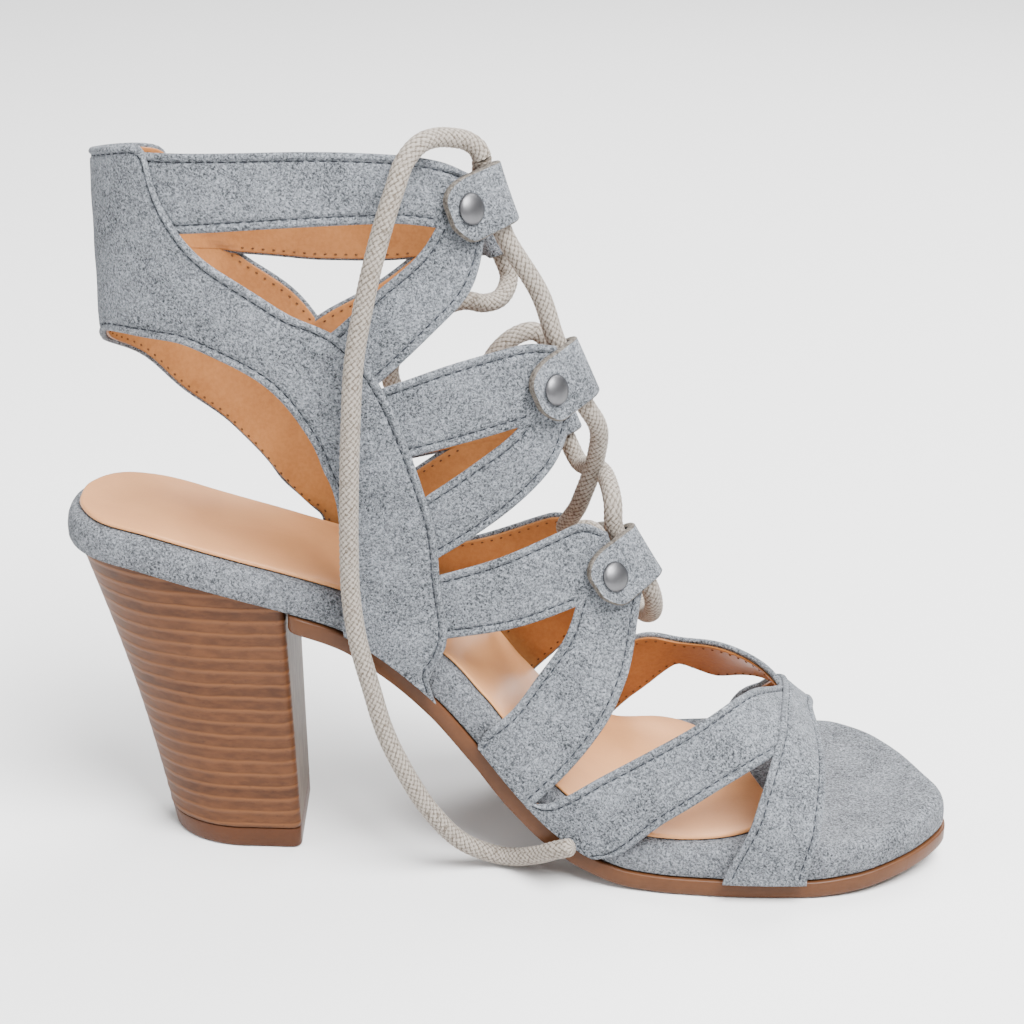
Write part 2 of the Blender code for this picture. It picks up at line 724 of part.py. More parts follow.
def tab_frame(stud, side, lean):
    """Where a tab sits: its stud's place on the last, and the way from there to the fold."""
    place = pin_place(stud, side)
    normal = last_normal(*place)
    to_fold = np.cross((lean, 0.0, -1.0), normal) * side
    return place, to_fold / np.linalg.norm(to_fold), side


def tab_point(frame, along, down, lift):
    """A point of a tab: along from the stud to the fold, then down along the fold, and off the last."""
    place, to_fold, side = frame
    place, to_fold = walk(place, to_fold, along)
    place, _ = walk(place, np.cross(last_normal(*place), to_fold) * side, down)
    return off_last(place, lift)


def tab_path():
    """Mid line of the folded tab, as (along, lift, half width): outer leaf, round the cord, inner leaf."""
    path = []
    for along in (-TAB_REAR, -TAB_REAR + 0.6, -TAB_REAR + 2.0, -TAB_REAR + 4.2, 1.0):
        reach = min((along + TAB_REAR) / TAB_HALF, 1.0)
        half = TAB_HALF * math.sqrt(max(1.0 - (1.0 - reach) ** 2, 0.06))
        path.append((along, TAB_LEAF, half))
    bend = CORD_RADIUS + CORD_CLEAR + TAB_THICK / 2
    path.append((TAB_FOLD - TAB_RISE, CORD_LEVEL + bend - 0.15, TAB_HALF))
    for degrees in (90, 58, 26, -6, -38, -70, -100):
        a = math.radians(degrees)
        path.append((TAB_FOLD + bend * math.cos(a), CORD_LEVEL + bend * math.sin(a), TAB_HALF))
    path.append((TAB_FOLD - TAB_RETURN, TAB_INNER_LEAF - TAB_RETURN_DIP, TAB_HALF))
    path.append((TAB_INNER_END, TAB_INNER_LEAF, TAB_HALF))
    return path


def make_tab(name, frame, material):
    path = tab_path()
    rings = []
    for i, (along, lift, half) in enumerate(path):
        before, after = path[max(i - 1, 0)], path[min(i + 1, len(path) - 1)]
        way = np.array([after[0] - before[0], after[1] - before[1]])
        way /= np.linalg.norm(way)
        side_a, side_l = -way[1] * TAB_THICK / 2, way[0] * TAB_THICK / 2
        over = [tab_point(frame, along + side_a, v, lift + side_l) for v in (-half, 0.0, half)]
        under = [tab_point(frame, along - side_a, v, lift - side_l) for v in (half, 0.0, -half)]
        rings.append(over + under)
    return new_object(name, *skin(rings), material)


def make_stud(name, frame, material):
    """A low dome on the tab's outer leaf."""
    place = frame[0]
    normal = last_normal(*place)
    centre = off_last(place, TAB_LEAF + TAB_THICK / 2 + GAP)
    one = np.cross(normal, (0.0, 0.0, 1.0))
    one /= np.linalg.norm(one)
    two = np.cross(normal, one)
    rings = []
    for radius, height in ((1.0, 0.0), (1.0, 0.25), (0.86, 0.62), (0.5, 0.92), (0.12, 1.0)):
        rings.append(
            [
                centre
                + (one * math.cos(a) + two * math.sin(a)) * radius * STUD_RADIUS
                + normal * height * STUD_HEIGHT
                for a in np.linspace(0, 2 * math.pi, 14, endpoint=False)
            ]
        )
    return new_object(name, *skin(rings), material)


def through(route, spacing):
    """Points along a smooth curve through the points of a route."""
    points = np.array(route, float)
    gap = np.linalg.norm(np.diff(points, axis=0), axis=1)[:, None]
    way = np.diff(points, axis=0) / gap
    turned = (way[:-1] * gap[1:] + way[1:] * gap[:-1]) / (gap[:-1] + gap[1:])
    tangent = np.vstack([way[:1], turned, way[-1:]])
    line = [points[0]]
    for i, length in enumerate(gap[:, 0]):
        rise = points[i + 1] - points[i]
        a = tangent[i] * length - rise
        b = rise - tangent[i + 1] * length
        count = max(round(length / spacing), 1)
        for t in np.arange(1, count + 1) / count:
            line.append(points[i] + t * rise + t * (1 - t) * (a * (1 - t) + b * t))
    return line


def make_cord(name, line, material):
    curve = bpy.data.curves.new(name, "CURVE")
    curve.dimensions = "3D"
    curve.bevel_depth = CORD_RADIUS * MM
    curve.bevel_resolution = 2
    curve.use_fill_caps = True
    spline = curve.splines.new("POLY")
    spline.points.add(len(line) - 1)
    for point, place in zip(spline.points, line):
        point.co = (*(float(c) * MM for c in place), 1.0)
    curve.materials.append(material)
    made = bpy.data.objects.new(name, curve)
    bpy.context.scene.collection.objects.link(made)
    return made


def make_lace(frames, material):
    """The lace through the six tabs, from the outer top tab to the mouth of the inner top tab."""
    def tunnel(name, ends):
        return [tab_point(frames[name], TAB_FOLD, end, CORD_LEVEL) for end in ends]

    down, up = (-TUNNEL, 0.0, TUNNEL), (TUNNEL, 0.0, -TUNNEL)
    route = tunnel("top_outer", (-TUNNEL + 3.0, 0.0, TUNNEL))
    route += LACE_ROUTE["top_outer to middle_outer"]
    route += tunnel("middle_outer", down)
    route += LACE_ROUTE["middle_outer to lower_inner"]
    route += tunnel("lower_inner", down)
    route += LACE_ROUTE["lower_inner to lower_outer"]
    route += tunnel("lower_outer", up)
    route += LACE_ROUTE["lower_outer to middle_inner"]
    route += tunnel("middle_inner", up)
    route += LACE_ROUTE["middle_inner to top_inner"]
    route += tunnel("top_inner", up)
    return make_cord("lace", through(route, 6.0), material)


def centre(objects):
    """Puts the middle of the shoe's box over the origin; the loose lace end is left out of the box."""
    bpy.context.view_layer.update()
    graph = bpy.context.evaluated_depsgraph_get()
    points = [point.co for one in objects for point in one.evaluated_get(graph).to_mesh().vertices]
    low, high = np.min(points, axis=0), np.max(points, axis=0)
    for one in bpy.data.objects:
        one.location = (-(low[0] + high[0]) / 2, -(low[1] + high[1]) / 2, 0.0)


def main():
    for old in list(bpy.data.objects):
        bpy.data.objects.remove(old)
    suede = make_material("grey_suede", (0.36, 0.39, 0.43), 0.95)
    wrap = make_material("grey_suede_wrap", (0.34, 0.37, 0.41), 0.95)
    tan = make_material("tan_lining", (0.72, 0.46, 0.26), 0.55)
    sole = make_material("tan_outsole", (0.52, 0.30, 0.16), 0.5)
    stack = make_material("stacked_leather", (0.40, 0.22, 0.11), 0.6)
    lift = make_material("brown_lift", (0.33, 0.18, 0.09), 0.55)
    nickel = make_material("satin_nickel", (0.55, 0.55, 0.56), 0.35, 1.0)
    lace = make_material("lace_cord", (0.48, 0.46, 0.43), 0.9)
    made = [
        make_outsole(sole),
        make_footbed(wrap),
        make_insole(tan),
        make_heel(stack),
        make_top_piece(lift),
        make_upper(suede),
    ]
    frames = {}
    for place, stud, drop, lean in TAB_STUDS:
        for side, side_name in ((-1, "inner"), (1, "outer")):
            at = stud if side < 0 else (stud[0] + drop[0], stud[1] + drop[1])
            tab = f"{place}_{side_name}"
            frames[tab] = tab_frame(at, side, lean)
            made.append(make_tab("tab_" + tab, frames[tab], suede))
            made.append(make_stud("stud_" + tab, frames[tab], nickel))
    made.append(make_lace(frames, lace))
    make_cord("lace_end", through(LACE_END_ROUTE, 10.0), lace)
    centre(made)


main()
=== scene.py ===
# %% [markdown]
# A caged heel sandal, left foot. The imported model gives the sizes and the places; this lesson dresses it.
# Each strap, tab, cord and sole piece is rebuilt with fine meshes on the same last as the solids, so
# that every layer lies where its solid lies, and gets a finish made from shader nodes.

# %% load the frame
import math

import bmesh
import bpy
import numpy as np
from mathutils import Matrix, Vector, kdtree


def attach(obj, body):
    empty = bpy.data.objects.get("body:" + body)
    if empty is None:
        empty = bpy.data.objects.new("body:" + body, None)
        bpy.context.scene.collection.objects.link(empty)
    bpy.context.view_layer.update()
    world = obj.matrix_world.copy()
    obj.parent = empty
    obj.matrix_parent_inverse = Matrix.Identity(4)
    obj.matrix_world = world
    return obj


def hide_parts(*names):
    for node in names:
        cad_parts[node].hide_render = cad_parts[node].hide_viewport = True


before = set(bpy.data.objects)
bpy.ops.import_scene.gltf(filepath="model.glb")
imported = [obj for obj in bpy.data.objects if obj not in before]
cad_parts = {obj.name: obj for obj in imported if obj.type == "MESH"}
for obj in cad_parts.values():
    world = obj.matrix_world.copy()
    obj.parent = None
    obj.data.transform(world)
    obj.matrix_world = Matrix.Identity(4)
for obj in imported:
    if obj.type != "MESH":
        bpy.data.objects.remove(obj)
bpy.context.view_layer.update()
MM = 0.001
SHIFT = np.array([116.0, 2.7, 0.0])

# %% [markdown]
# The camera stands where the photograph was taken: 0.7 m from the shoe, 24.5 degrees above the floor, on
# the inner side. The photograph's middle lies beside this shoe, so the camera is turned the shortest way
# towards the shoe, which keeps the perspective and needs no lens shift.

# %% camera
CAMERA_AZIMUTH, CAMERA_HEIGHT, CAMERA_DISTANCE = math.radians(4.0), math.radians(24.55), 0.7
PHOTO_TARGET = Vector((-0.05421, -0.0027, 0.04481))
PHOTO_WIDTH, PHOTO_FOCAL = 1024.0, 1960.0
SHOE_IN_PHOTO = (664.0 - PHOTO_WIDTH / 2, PHOTO_WIDTH / 2 - 397.0)
SENSOR, ZOOM, NEAREST = 36.0, 1.34, 0.01


def linked(name, data):
    """A new object with this data, in the scene."""
    made = bpy.data.objects.new(name, data)
    bpy.context.scene.collection.objects.link(made)
    return made


level = math.cos(CAMERA_HEIGHT)
back = Vector((math.sin(CAMERA_AZIMUTH) * level, -math.cos(CAMERA_AZIMUTH) * level, math.sin(CAMERA_HEIGHT)))
camera = linked("camera", bpy.data.cameras.new("camera"))
photo_turn = (-back).to_track_quat("-Z", "Y")
ahead = photo_turn @ Vector((0.0, 0.0, -1.0))
to_shoe = photo_turn @ Vector((*SHOE_IN_PHOTO, -PHOTO_FOCAL)).normalized()
camera.location = PHOTO_TARGET + back * CAMERA_DISTANCE
camera.rotation_mode = "QUATERNION"
camera.rotation_quaternion = ahead.rotation_difference(to_shoe) @ photo_turn
camera.data.sensor_width = SENSOR
camera.data.lens = SENSOR * PHOTO_FOCAL / PHOTO_WIDTH * ZOOM
camera.data.clip_start = NEAREST
bpy.context.scene.camera = camera
print("lens", round(camera.data.lens, 1), "mm")

# %% [markdown]
# Shader maths reads best as arithmetic. Flow wraps one socket; Python's operators on it add Math nodes,
# also with a number on the left, and its node method adds any other node: type, settings, then sockets.

# %% a socket that does arithmetic
class Flow:
    def __init__(self, tree, socket):
        self.tree, self.socket = tree, socket

    def node(self, kind, settings=None, sockets=None, output=0):
        made = self.tree.nodes.new(kind)
        for name, value in (settings or {}).items():
            setattr(made, name, value)
        for name, value in (sockets or {}).items():
            if isinstance(value, Flow):
                self.tree.links.new(value.socket, made.inputs[name])
            else:
                made.inputs[name].default_value = value
        return Flow(self.tree, made.outputs[output])

    def math(self, operation, one, two=0.0):
        return self.node("ShaderNodeMath", {"operation": operation}, {0: one, 1: two})

    def __add__(self, other):
        return self.math("ADD", self, other)

    __radd__ = __add__

    def __mul__(self, other):
        return self.math("MULTIPLY", self, other)

    __rmul__ = __mul__

    def __sub__(self, other):
        return self.math("SUBTRACT", self, other)

    def __rsub__(self, other):
        return self.math("SUBTRACT", other, self)

    def between(self, low, high):
        """0 below low, 1 above high, and a soft step between them."""
        sockets = {"Value": self, "From Min": low, "From Max": high}
        return self.node("ShaderNodeMapRange", {"interpolation_type": "SMOOTHSTEP"}, sockets)

    def blend(self, first, second):
        """A colour: first where this value is 0, second where it is 1."""
        first, second = (c if isinstance(c, Flow) else (*c, 1.0) for c in (first, second))
        return self.node("ShaderNodeMix", {"data_type": "RGBA"}, {0: self, 6: first, 7: second}, 2)

    def noise(self, size, detail=2.0, rough=0.5, distortion=0.0, stretch=(1.0, 1.0, 1.0)):
        """Noise with spots of about this size in metres, over a place vector."""
        place = self
        if stretch != (1.0, 1.0, 1.0):
            place = self.node("ShaderNodeVectorMath", {"operation": "MULTIPLY"}, {0: self, 1: stretch})
        sockets = {"Vector": place, "Scale": 1.0 / size, "Detail": detail, "Roughness": rough}
        return self.node("ShaderNodeTexNoise", None, {**sockets, "Distortion": distortion})


class Finish:
    """A material with its shader, and the place of a point on the object in metres."""

    def __init__(self, name, **constants):
        self.material = bpy.data.materials.new(name)
        self.material.use_nodes = True
        self.tree = self.material.node_tree
        self.shader = self.tree.nodes["Principled BSDF"]
        self.place = Flow(self.tree, None).node("ShaderNodeTexCoord", None, None, "Object")
        for name, value in constants.items():
            self.shader.inputs[name.replace("_", " ").title().replace("Ior", "IOR")].default_value = value

    def feed(self, **flows):
        for name, flow in flows.items():
            self.tree.links.new(flow.socket, self.shader.inputs[name.replace("_", " ").title()])

    def bump(self, height, distance, strength=1.0):
        sockets = {"Height": height, "Distance": distance, "Strength": strength}
        self.feed(normal=height.node("ShaderNodeBump", None, sockets))


print("shader classes ready")

# %% [markdown]
# Suede is leather with its fibres brushed up. Up close it is a speckle of light and dark fibre tips
# about half a millimetre wide, over slow patches where the nap lies one way or the other. The level lines
# of a twisted noise give the worm-like curls, and the same value lifts the surface.

# %% suede
def suede(name, dark, light):
    made = Finish(name, roughness=0.95, specular_ior_level=0.12, sheen_weight=0.05, sheen_roughness=0.5)
    bent = made.place.noise(0.0016, 1.5, 0.5, 1.6) - 0.5
    curl = 1.0 - bent.math("ABSOLUTE", bent).between(0.0, 0.075)
    tips = made.place.noise(0.00055, 2.0, 0.6, 0.5).between(0.34, 0.66)
    patch = made.place.noise(0.012, 2.0, 0.55, 0.4)
    nap = tips * 0.58 + curl * 0.42
    tone = nap * 0.86 + patch.between(0.30, 0.72) * 0.14
    made.feed(base_color=tone.blend(dark, light))
    made.bump(nap + patch * 0.4, 0.00028, 0.85)
    return made.material


UPPER_SUEDE = suede("upper_suede", (0.020, 0.022, 0.0245), (0.266, 0.285, 0.314))
WRAP_SUEDE = suede("wrap_suede", (0.022, 0.024, 0.0265), (0.252, 0.267, 0.293))
print("suede", UPPER_SUEDE.name, WRAP_SUEDE.name)

# %% [markdown]
# The lining and the insole are smooth tan leather: a fine pebble, pores and slow changes of tone where
# the hide takes the dye differently. The insole is paler and a little glossier from pressing, and the
# outsole and the heel's lift are darker mixes.

# %% tan leather
def tan_leather(name, deep, pale, rough, pebble):
    made = Finish(name, roughness=rough, specular_ior_level=0.2)
    cloud = made.place.noise(0.022, 3.0, 0.55, 0.6).between(0.28, 0.74)
    grain = made.place.noise(pebble, 3.0, 0.6, 0.2)
    pores = made.place.noise(0.00045, 1.0, 0.5)
    tone = cloud * 0.7 + grain.between(0.3, 0.7) * 0.3
    made.feed(base_color=tone.blend(deep, pale), roughness=rough + (grain - 0.5) * 0.18)
    made.bump(grain + pores * 0.3, 0.00012, 0.5)
    return made.material


LINING = tan_leather("tan_lining", (0.215, 0.083, 0.025), (0.345, 0.145, 0.047), 0.40, 0.0011)
INSOLE_LEATHER = tan_leather("insole_leather", (0.420, 0.195, 0.082), (0.500, 0.240, 0.103), 0.36, 0.0007)
OUTSOLE_TAN = tan_leather("outsole_tan", (0.062, 0.0230, 0.0085), (0.086, 0.0330, 0.0125), 0.42, 0.0016)
LIFT_BROWN = tan_leather("lift_brown", (0.050, 0.0165, 0.0055), (0.067, 0.0225, 0.0075), 0.40, 0.0009)
print("tan leathers ready")

# %% [markdown]
# A stacked heel is about twenty slices of leather glued and sanded: dark bodies with a lighter, slightly
# raised line at each joint, wavy because the slices are pressed. The breast, cut across them, is
# a grey brown with upright grain.

# %% stacked leather
LAYER = 0.00375


def layered_leather():
    made = Finish("stacked_leather", roughness=0.5, specular_ior_level=0.18)
    split = made.place.node("ShaderNodeSeparateXYZ", None, {0: made.place}, 2)
    wave = made.place.noise(0.016, 2.0, 0.5, 0.0, (1.0, 1.0, 0.45))
    fine = made.place.noise(0.0016, 3.0, 0.65, 0.0, (0.35, 0.35, 1.0))
    level = split + (wave - 0.5) * 0.0016 + (fine - 0.5) * 0.0006
    turn = level * (1.0 / LAYER)
    share = turn.math("FRACT", turn)
    number = {"W": turn.math("FLOOR", turn)}
    slice_tone = turn.node("ShaderNodeTexWhiteNoise", {"noise_dimensions": "1D"}, number)
    ridge = share.between(0.54, 0.82) - share.between(0.86, 1.0)
    speck = made.place.noise(0.0009, 3.0, 0.7, 0.0, (0.4, 0.4, 1.0))
    shade = fine.between(0.3, 0.72) * 0.6 + slice_tone * 0.4
    body = shade.blend((0.042, 0.0150, 0.0055), (0.094, 0.0355, 0.0135))
    colour = ridge.blend(body, (0.118, 0.0470, 0.0185))
    dust = speck.between(0.60, 0.74) * 0.5
    made.feed(base_color=dust.blend(colour, (0.024, 0.0085, 0.0038)), roughness=0.42 + fine * 0.2)
    made.bump(ridge * 0.8 + fine * 0.5, 0.00022, 0.8)
    return made.material


def breast_leather():
    made = Finish("heel_breast", roughness=0.55, specular_ior_level=0.15)
    grain = made.place.noise(0.0022, 3.0, 0.6, 0.5, (1.0, 0.9, 0.30))
    cloud = made.place.noise(0.012, 2.0, 0.5)
    tone = grain.between(0.34, 0.68) * 0.65 + cloud * 0.35
    made.feed(base_color=tone.blend((0.084, 0.058, 0.041), (0.162, 0.122, 0.094)))
    made.bump(grain, 0.00015, 0.5)
    return made.material


STACK, BREAST = layered_leather(), breast_leather()
print("heel finishes", STACK.name, BREAST.name)

# %% [markdown]
# Small finishes: the raw, brownish cut edge of a tab, sewing thread, satin nickel with faint scratches,
# and the lace, a round cord of pale yarns with brown flecks and painted shade in the gaps between strands.

# %% edge, thread, metal and cord
def fibrous(name, dark, light, size, rough):
    made = Finish(name, roughness=rough, specular_ior_level=0.15)
    tone = made.place.noise(size, 3.0, 0.65, 0.4).between(0.32, 0.68)
    made.feed(base_color=tone.blend(dark, light))
    made.bump(tone, 0.00012, 0.7)
    return made.material


def nickel():
    made = Finish("satin_nickel", metallic=1.0, roughness=0.3)
    scratch = made.place.noise(0.0004, 3.0, 0.6, 0.0, (1.0, 1.0, 0.15))
    cloud = made.place.noise(0.003, 2.0, 0.5)
    tone = cloud.blend((0.105, 0.105, 0.110), (0.140, 0.140, 0.146))
    made.feed(base_color=tone, roughness=0.36 + scratch * 0.14)
    made.bump(scratch, 0.00003, 0.4)
    return made.material


def cord_yarn():
    made = Finish("lace_cord", roughness=0.8, specular_ior_level=0.15, sheen_weight=0.05)
    fleck = made.place.noise(0.0012, 3.0, 0.65, 0.8)
    slow = made.place.noise(0.014, 2.0, 0.5)
    yarn = made.place.noise(0.0006, 2.0, 0.6)
    amount = fleck.between(0.52, 0.70) * (0.35 + slow * 0.75)
    pale = yarn.blend((0.205, 0.180, 0.150), (0.350, 0.315, 0.275))
    # The strand attribute is the braid's height: where it is low the colour darkens, painted shade in the
    # gaps between strands.
    strand = made.place.node("ShaderNodeAttribute", {"attribute_name": "strand"}, None, "Fac")
    colour = strand.between(0.15, 0.75).blend((0.092, 0.076, 0.061), pale)
    made.feed(base_color=amount.blend(colour, (0.066, 0.048, 0.034)))
    made.bump(yarn + fleck * 0.5, 0.00018, 0.7)
    return made.material


CUT_EDGE = fibrous("cut_edge", (0.052, 0.044, 0.037), (0.140, 0.126, 0.110), 0.0008, 0.9)
DARK_THREAD = fibrous("dark_thread", (0.014, 0.016, 0.020), (0.036, 0.040, 0.048), 0.0005, 0.7)
TAN_THREAD = fibrous("tan_thread", (0.060, 0.024, 0.009), (0.110, 0.048, 0.019), 0.0005, 0.7)
NICKEL, YARN = nickel(), cord_yarn()
print("small finishes ready")

# %% [markdown]
# A piece is a mesh from points in millimetres, measured as in the part's source: x from the back of the
# footbed, z from the floor. This helper moves it into the frame, shades it smooth, lets it ride on the
# shoe and hides the solids it stands for.

# %% making a piece
WELD = 2e-6


def piece(name, points, faces, materials, slot, nodes=(), tints=None, sharp=40.0):
    mesh = bpy.data.meshes.new(name)
    mesh.from_pydata(((np.asarray(points) - SHIFT) * MM).tolist(), [], faces)
    for material in materials:
        mesh.materials.append(material)
    if tints is not None:
        mesh.polygons.foreach_set("material_index", np.asarray(tints, np.int32))
    shaped = bmesh.new()
    shaped.from_mesh(mesh)
    bmesh.ops.remove_doubles(shaped, verts=shaped.verts, dist=WELD)
    bmesh.ops.recalc_face_normals(shaped, faces=shaped.faces)
    for edge in shaped.edges:
        edge.smooth = len(edge.link_faces) == 2 and edge.calc_face_angle(0.0) < math.radians(sharp)
    for face in shaped.faces:
        face.smooth = True
    shaped.to_mesh(mesh)
    shaped.free()
    made = linked(name, mesh)
    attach(made, "root")
    if nodes:
        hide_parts(*nodes)
    triangles = sum(len(face.vertices) - 2 for face in mesh.polygons)
    print(f"{name}: {triangles} triangles")
    return made


def grid_faces(rows, columns, start=0, around=False):
    """Quads of a grid of points, row after row; around joins the last column to the first."""
    i, j = np.meshgrid(np.arange(rows - 1), np.arange(columns if around else columns - 1), indexing="ij")
    k = (j + 1) % columns
    quads = np.stack([i * columns + j, i * columns + k, (i + 1) * columns + k, (i + 1) * columns + j], -1)
    return (quads.reshape(-1, 4) + start).tolist()


def tube_faces(rows, count):
    """Faces of a tube of rings, with a cap at each end."""
    caps = [tuple(range(start, start + count)) for start in (0, (rows - 1) * count)]
    return grid_faces(rows, count, 0, True) + caps


print("piece helpers ready")

# %% [markdown]
# Small tools for points and curves. A share runs from 0 to 1, and a run is the distance along a line.

# %% points and curves
def lerp(first, last, share):
    return first + (last - first) * share


def unit(vectors):
    return vectors / np.maximum(np.linalg.norm(vectors, axis=-1, keepdims=True), 1e-9)


def swell(distance, size, at, wide):
    """A soft rise of this size where the distance is at."""
    return size * np.exp(-(((distance - at) / wide) ** 2))


def round_end(distance, length, blunt=0.0):
    """A share that rounds an end off: blunt at the end itself, 1 from this length on."""
    share = np.clip(distance / length, 0.0, 1.0)
    return blunt + (1.0 - blunt) * np.sqrt(1.0 - (1.0 - share) ** 2)


def run_of(line):
    return np.concatenate([[0], np.cumsum(np.linalg.norm(np.diff(line, axis=0), axis=1))])


def along_run(at, run, line):
    """The points of a line at these distances along it."""
    return np.stack([np.interp(at, run, column) for column in line.T], -1)


def eased(first, rise, leave, arrive, t):
    """A cubic step that rises from first, leaving and arriving at these slopes."""
    return first + t * rise + t * (1 - t) * ((leave - rise) * (1 - t) + (rise - arrive) * t)


class Curve:
    """A curve through rows of (where, value, value, ...) that never swings past its points."""

    def __init__(self, rows):
        table = np.array(rows, float)
        self.where, self.value = table[:, 0], table[:, 1:]
        self.step = np.diff(self.where)
        slope = np.diff(self.value, axis=0) / self.step[:, None]
        before, after = slope[:-1], slope[1:]
        same = before * after > 0
        mean = 2 * before * after / np.where(same, before + after, 1.0)
        self.tangent = np.vstack([slope[:1], np.where(same, mean, 0.0), slope[-1:]])

    def __call__(self, place):
        place = np.atleast_1d(np.asarray(place, float))
        i = np.clip(np.searchsorted(self.where, place) - 1, 0, len(self.step) - 1)
        step = self.step[i][:, None]
        t = (place - self.where[i])[:, None] / step
        rise = self.value[i + 1] - self.value[i]
        return eased(self.value[i], rise, self.tangent[i] * step, self.tangent[i + 1] * step, t)


print("curve helpers ready")

# %% [markdown]
# The sole is drawn as a shoemaker does: a plan of the footbed's two edges, and a side line of its
# underside. The tables are the same as in the part's source.

# %% sole lines
FOOTBED_PLAN = [
    (0.0, -4.0, 4.0), (1.0, -9.0, 9.0), (3.5, -14.5, 14.5), (8.0, -19.5, 19.5), (16.0, -23.3, 22.6),
    (28.0, -25.3, 23.4), (45.0, -25.5, 23.0), (62.0, -24.4, 23.4), (80.0, -23.4, 25.2), (100.0, -24.4, 29.0),
    (120.0, -28.4, 33.0), (140.0, -33.8, 38.0), (160.0, -37.2, 41.8), (178.0, -38.2, 43.6),
    (194.0, -37.4, 43.2), (206.0, -34.8, 42.0), (216.0, -29.8, 33.6), (224.0, -23.8, 18.5),
    (229.0, -18.2, 2.5), (231.4, -14.4, -5.6), (232.0, -12.0, -9.0),
]
SOLE_LINE = [
    (0.0, 82.5), (18.0, 80.5), (36.0, 76.0), (57.0, 70.2), (72.0, 65.0), (84.0, 57.4), (96.0, 47.4),
    (107.0, 35.4), (118.0, 22.6), (127.0, 14.2), (137.0, 8.2), (148.0, 5.0), (160.0, 4.5), (192.0, 4.5),
    (206.0, 5.4), (218.0, 7.0), (232.0, 9.6),
]
OUTSOLE_THICK, FOOTBED_THICK, FOOTBED_ROUND, GAP = 4.5, 9.0, 4.0, 0.3
INSOLE_THICK, INSOLE_INSET, INSOLE_END = 1.2, 3.2, 182.0
INSOLE_SLANT, INSOLE_SLANT_FROM = 0.26, 152.0
TOE_TIP = 232.0
OUTLINE_SAMPLES, OUTLINE_SMOOTHING, SOLE_POINTS, FOOTBED_POINTS = 240, 3, 320, 360
plan, sole_line = Curve(FOOTBED_PLAN), Curve(SOLE_LINE)


def sole_z(x):
    return sole_line(x)[:, 0]


def sole_slant(x):
    x = np.atleast_1d(np.asarray(x, float))
    return np.hypot(1.0, (sole_z(x + 1.0) - sole_z(x - 1.0)) / 2.0)


def footbed_top(x):
    return sole_z(x) + FOOTBED_THICK * sole_slant(x)


def edge_loop(first, last, count, squeeze=None):
    """A closed outline of the sole from x first to x last: along the inner edge, back along the outer."""
    x = lerp(first, last, (1 - np.cos(np.linspace(0, math.pi, OUTLINE_SAMPLES))) / 2)
    inner, outer = plan(x).T
    if squeeze is not None:
        middle = (inner + outer) / 2
        half = (outer - inner) / 2 * squeeze(x)
        inner, outer = middle - half, middle + half
    loop = np.vstack([np.stack([x, inner], 1), np.stack([x, outer], 1)[::-1]])
    start = (loop[0] + loop[-1]) / 2
    loop = np.vstack([start, loop, start])
    run = run_of(loop)
    even = along_run(np.linspace(0, run[-1], count, endpoint=False), run, loop)
    for _ in range(OUTLINE_SMOOTHING):
        even = (np.roll(even, 1, 0) + 2 * even + np.roll(even, -1, 0)) / 4
    return even


def inset_loop(loop, inset):
    way = unit(np.roll(loop, -1, 0) - np.roll(loop, 1, 0))
    return loop + np.stack([-way[:, 1], way[:, 0]], 1) * inset


def slab(loop, rings, columns=12):
    """Points and faces of a sole layer: rings are (inset, height function), from the bottom to the top."""
    count = len(loop)
    points = []
    for inset, height in rings:
        ring = inset_loop(loop, inset)
        points.append(np.column_stack([ring, height(ring[:, 0])]))
    points = np.vstack(points)
    faces = grid_faces(len(rings), count, 0, True)
    for base, height in ((0, rings[0][1]), ((len(rings) - 1) * count, rings[-1][1])):
        rim = points[base : base + count]
        rows = [[base] * (columns + 1)]
        for i in range(1, count // 2):
            one, two = rim[i], rim[count - i]
            inside = [one + (two - one) * k / columns for k in range(1, columns)]
            inside = np.array([(p[0], p[1], height(p[0])[0]) for p in inside])
            rows.append([base + i, *range(len(points), len(points) + columns - 1), base + count - i])
            points = np.vstack([points, inside])
        rows.append([base + count // 2] * (columns + 1))
        for near, far in zip(rows[:-1], rows[1:]):
            for k in range(columns):
                corners = dict.fromkeys((near[k], near[k + 1], far[k + 1], far[k]))
                if len(corners) > 2:
                    faces.append(tuple(corners))
    return points, faces


def above(height, lift):
    """A height function this much above another."""
    return lambda x: height(x) + lift


def rounded(top, radius, steps):
    """Rings of a rounded upper edge, as (inset, height function)."""
    turns = np.linspace(0, math.pi / 2, steps)
    return [(radius * (1 - math.cos(a)), above(top, radius * (math.sin(a) - 1))) for a in turns]


print("footbed outline", edge_loop(0.0, TOE_TIP, FOOTBED_POINTS).round(1)[:2].tolist())

# %% [markdown]
# Outsole, wrapped footbed and insole lie on each other like leaves. A slab with rings is better here
# than a bevel modifier, because the sole bends, and each ring can follow the bend at its own height.

# %% outsole, footbed and insole
OUTSOLE_FROM, OUTSOLE_OUT, FLAT_FROM = 58.6, 0.6, 150.0
INSOLE_TOE_ROUND, INSOLE_HEEL_ROUND = (26.0, 0.30), (9.0, 0.40)


def outsole_bottom(x):
    thick = OUTSOLE_THICK * np.where(x < FLAT_FROM, sole_slant(x), 1.0)
    return np.maximum(sole_z(x) - thick, 0.0)


outsole_loop = inset_loop(edge_loop(OUTSOLE_FROM, TOE_TIP, SOLE_POINTS), -OUTSOLE_OUT)
outsole_rings = [
    (0.9, outsole_bottom),
    (0.25, above(outsole_bottom, 0.25)),
    (0.0, above(outsole_bottom, 0.8)),
    (0.05, lambda x: (outsole_bottom(x) + sole_z(x)) / 2),
    *rounded(sole_z, 0.6, 4),
]
piece("outsole_leather", *slab(outsole_loop, outsole_rings), [OUTSOLE_TAN], "tan_outsole", ["outsole"])

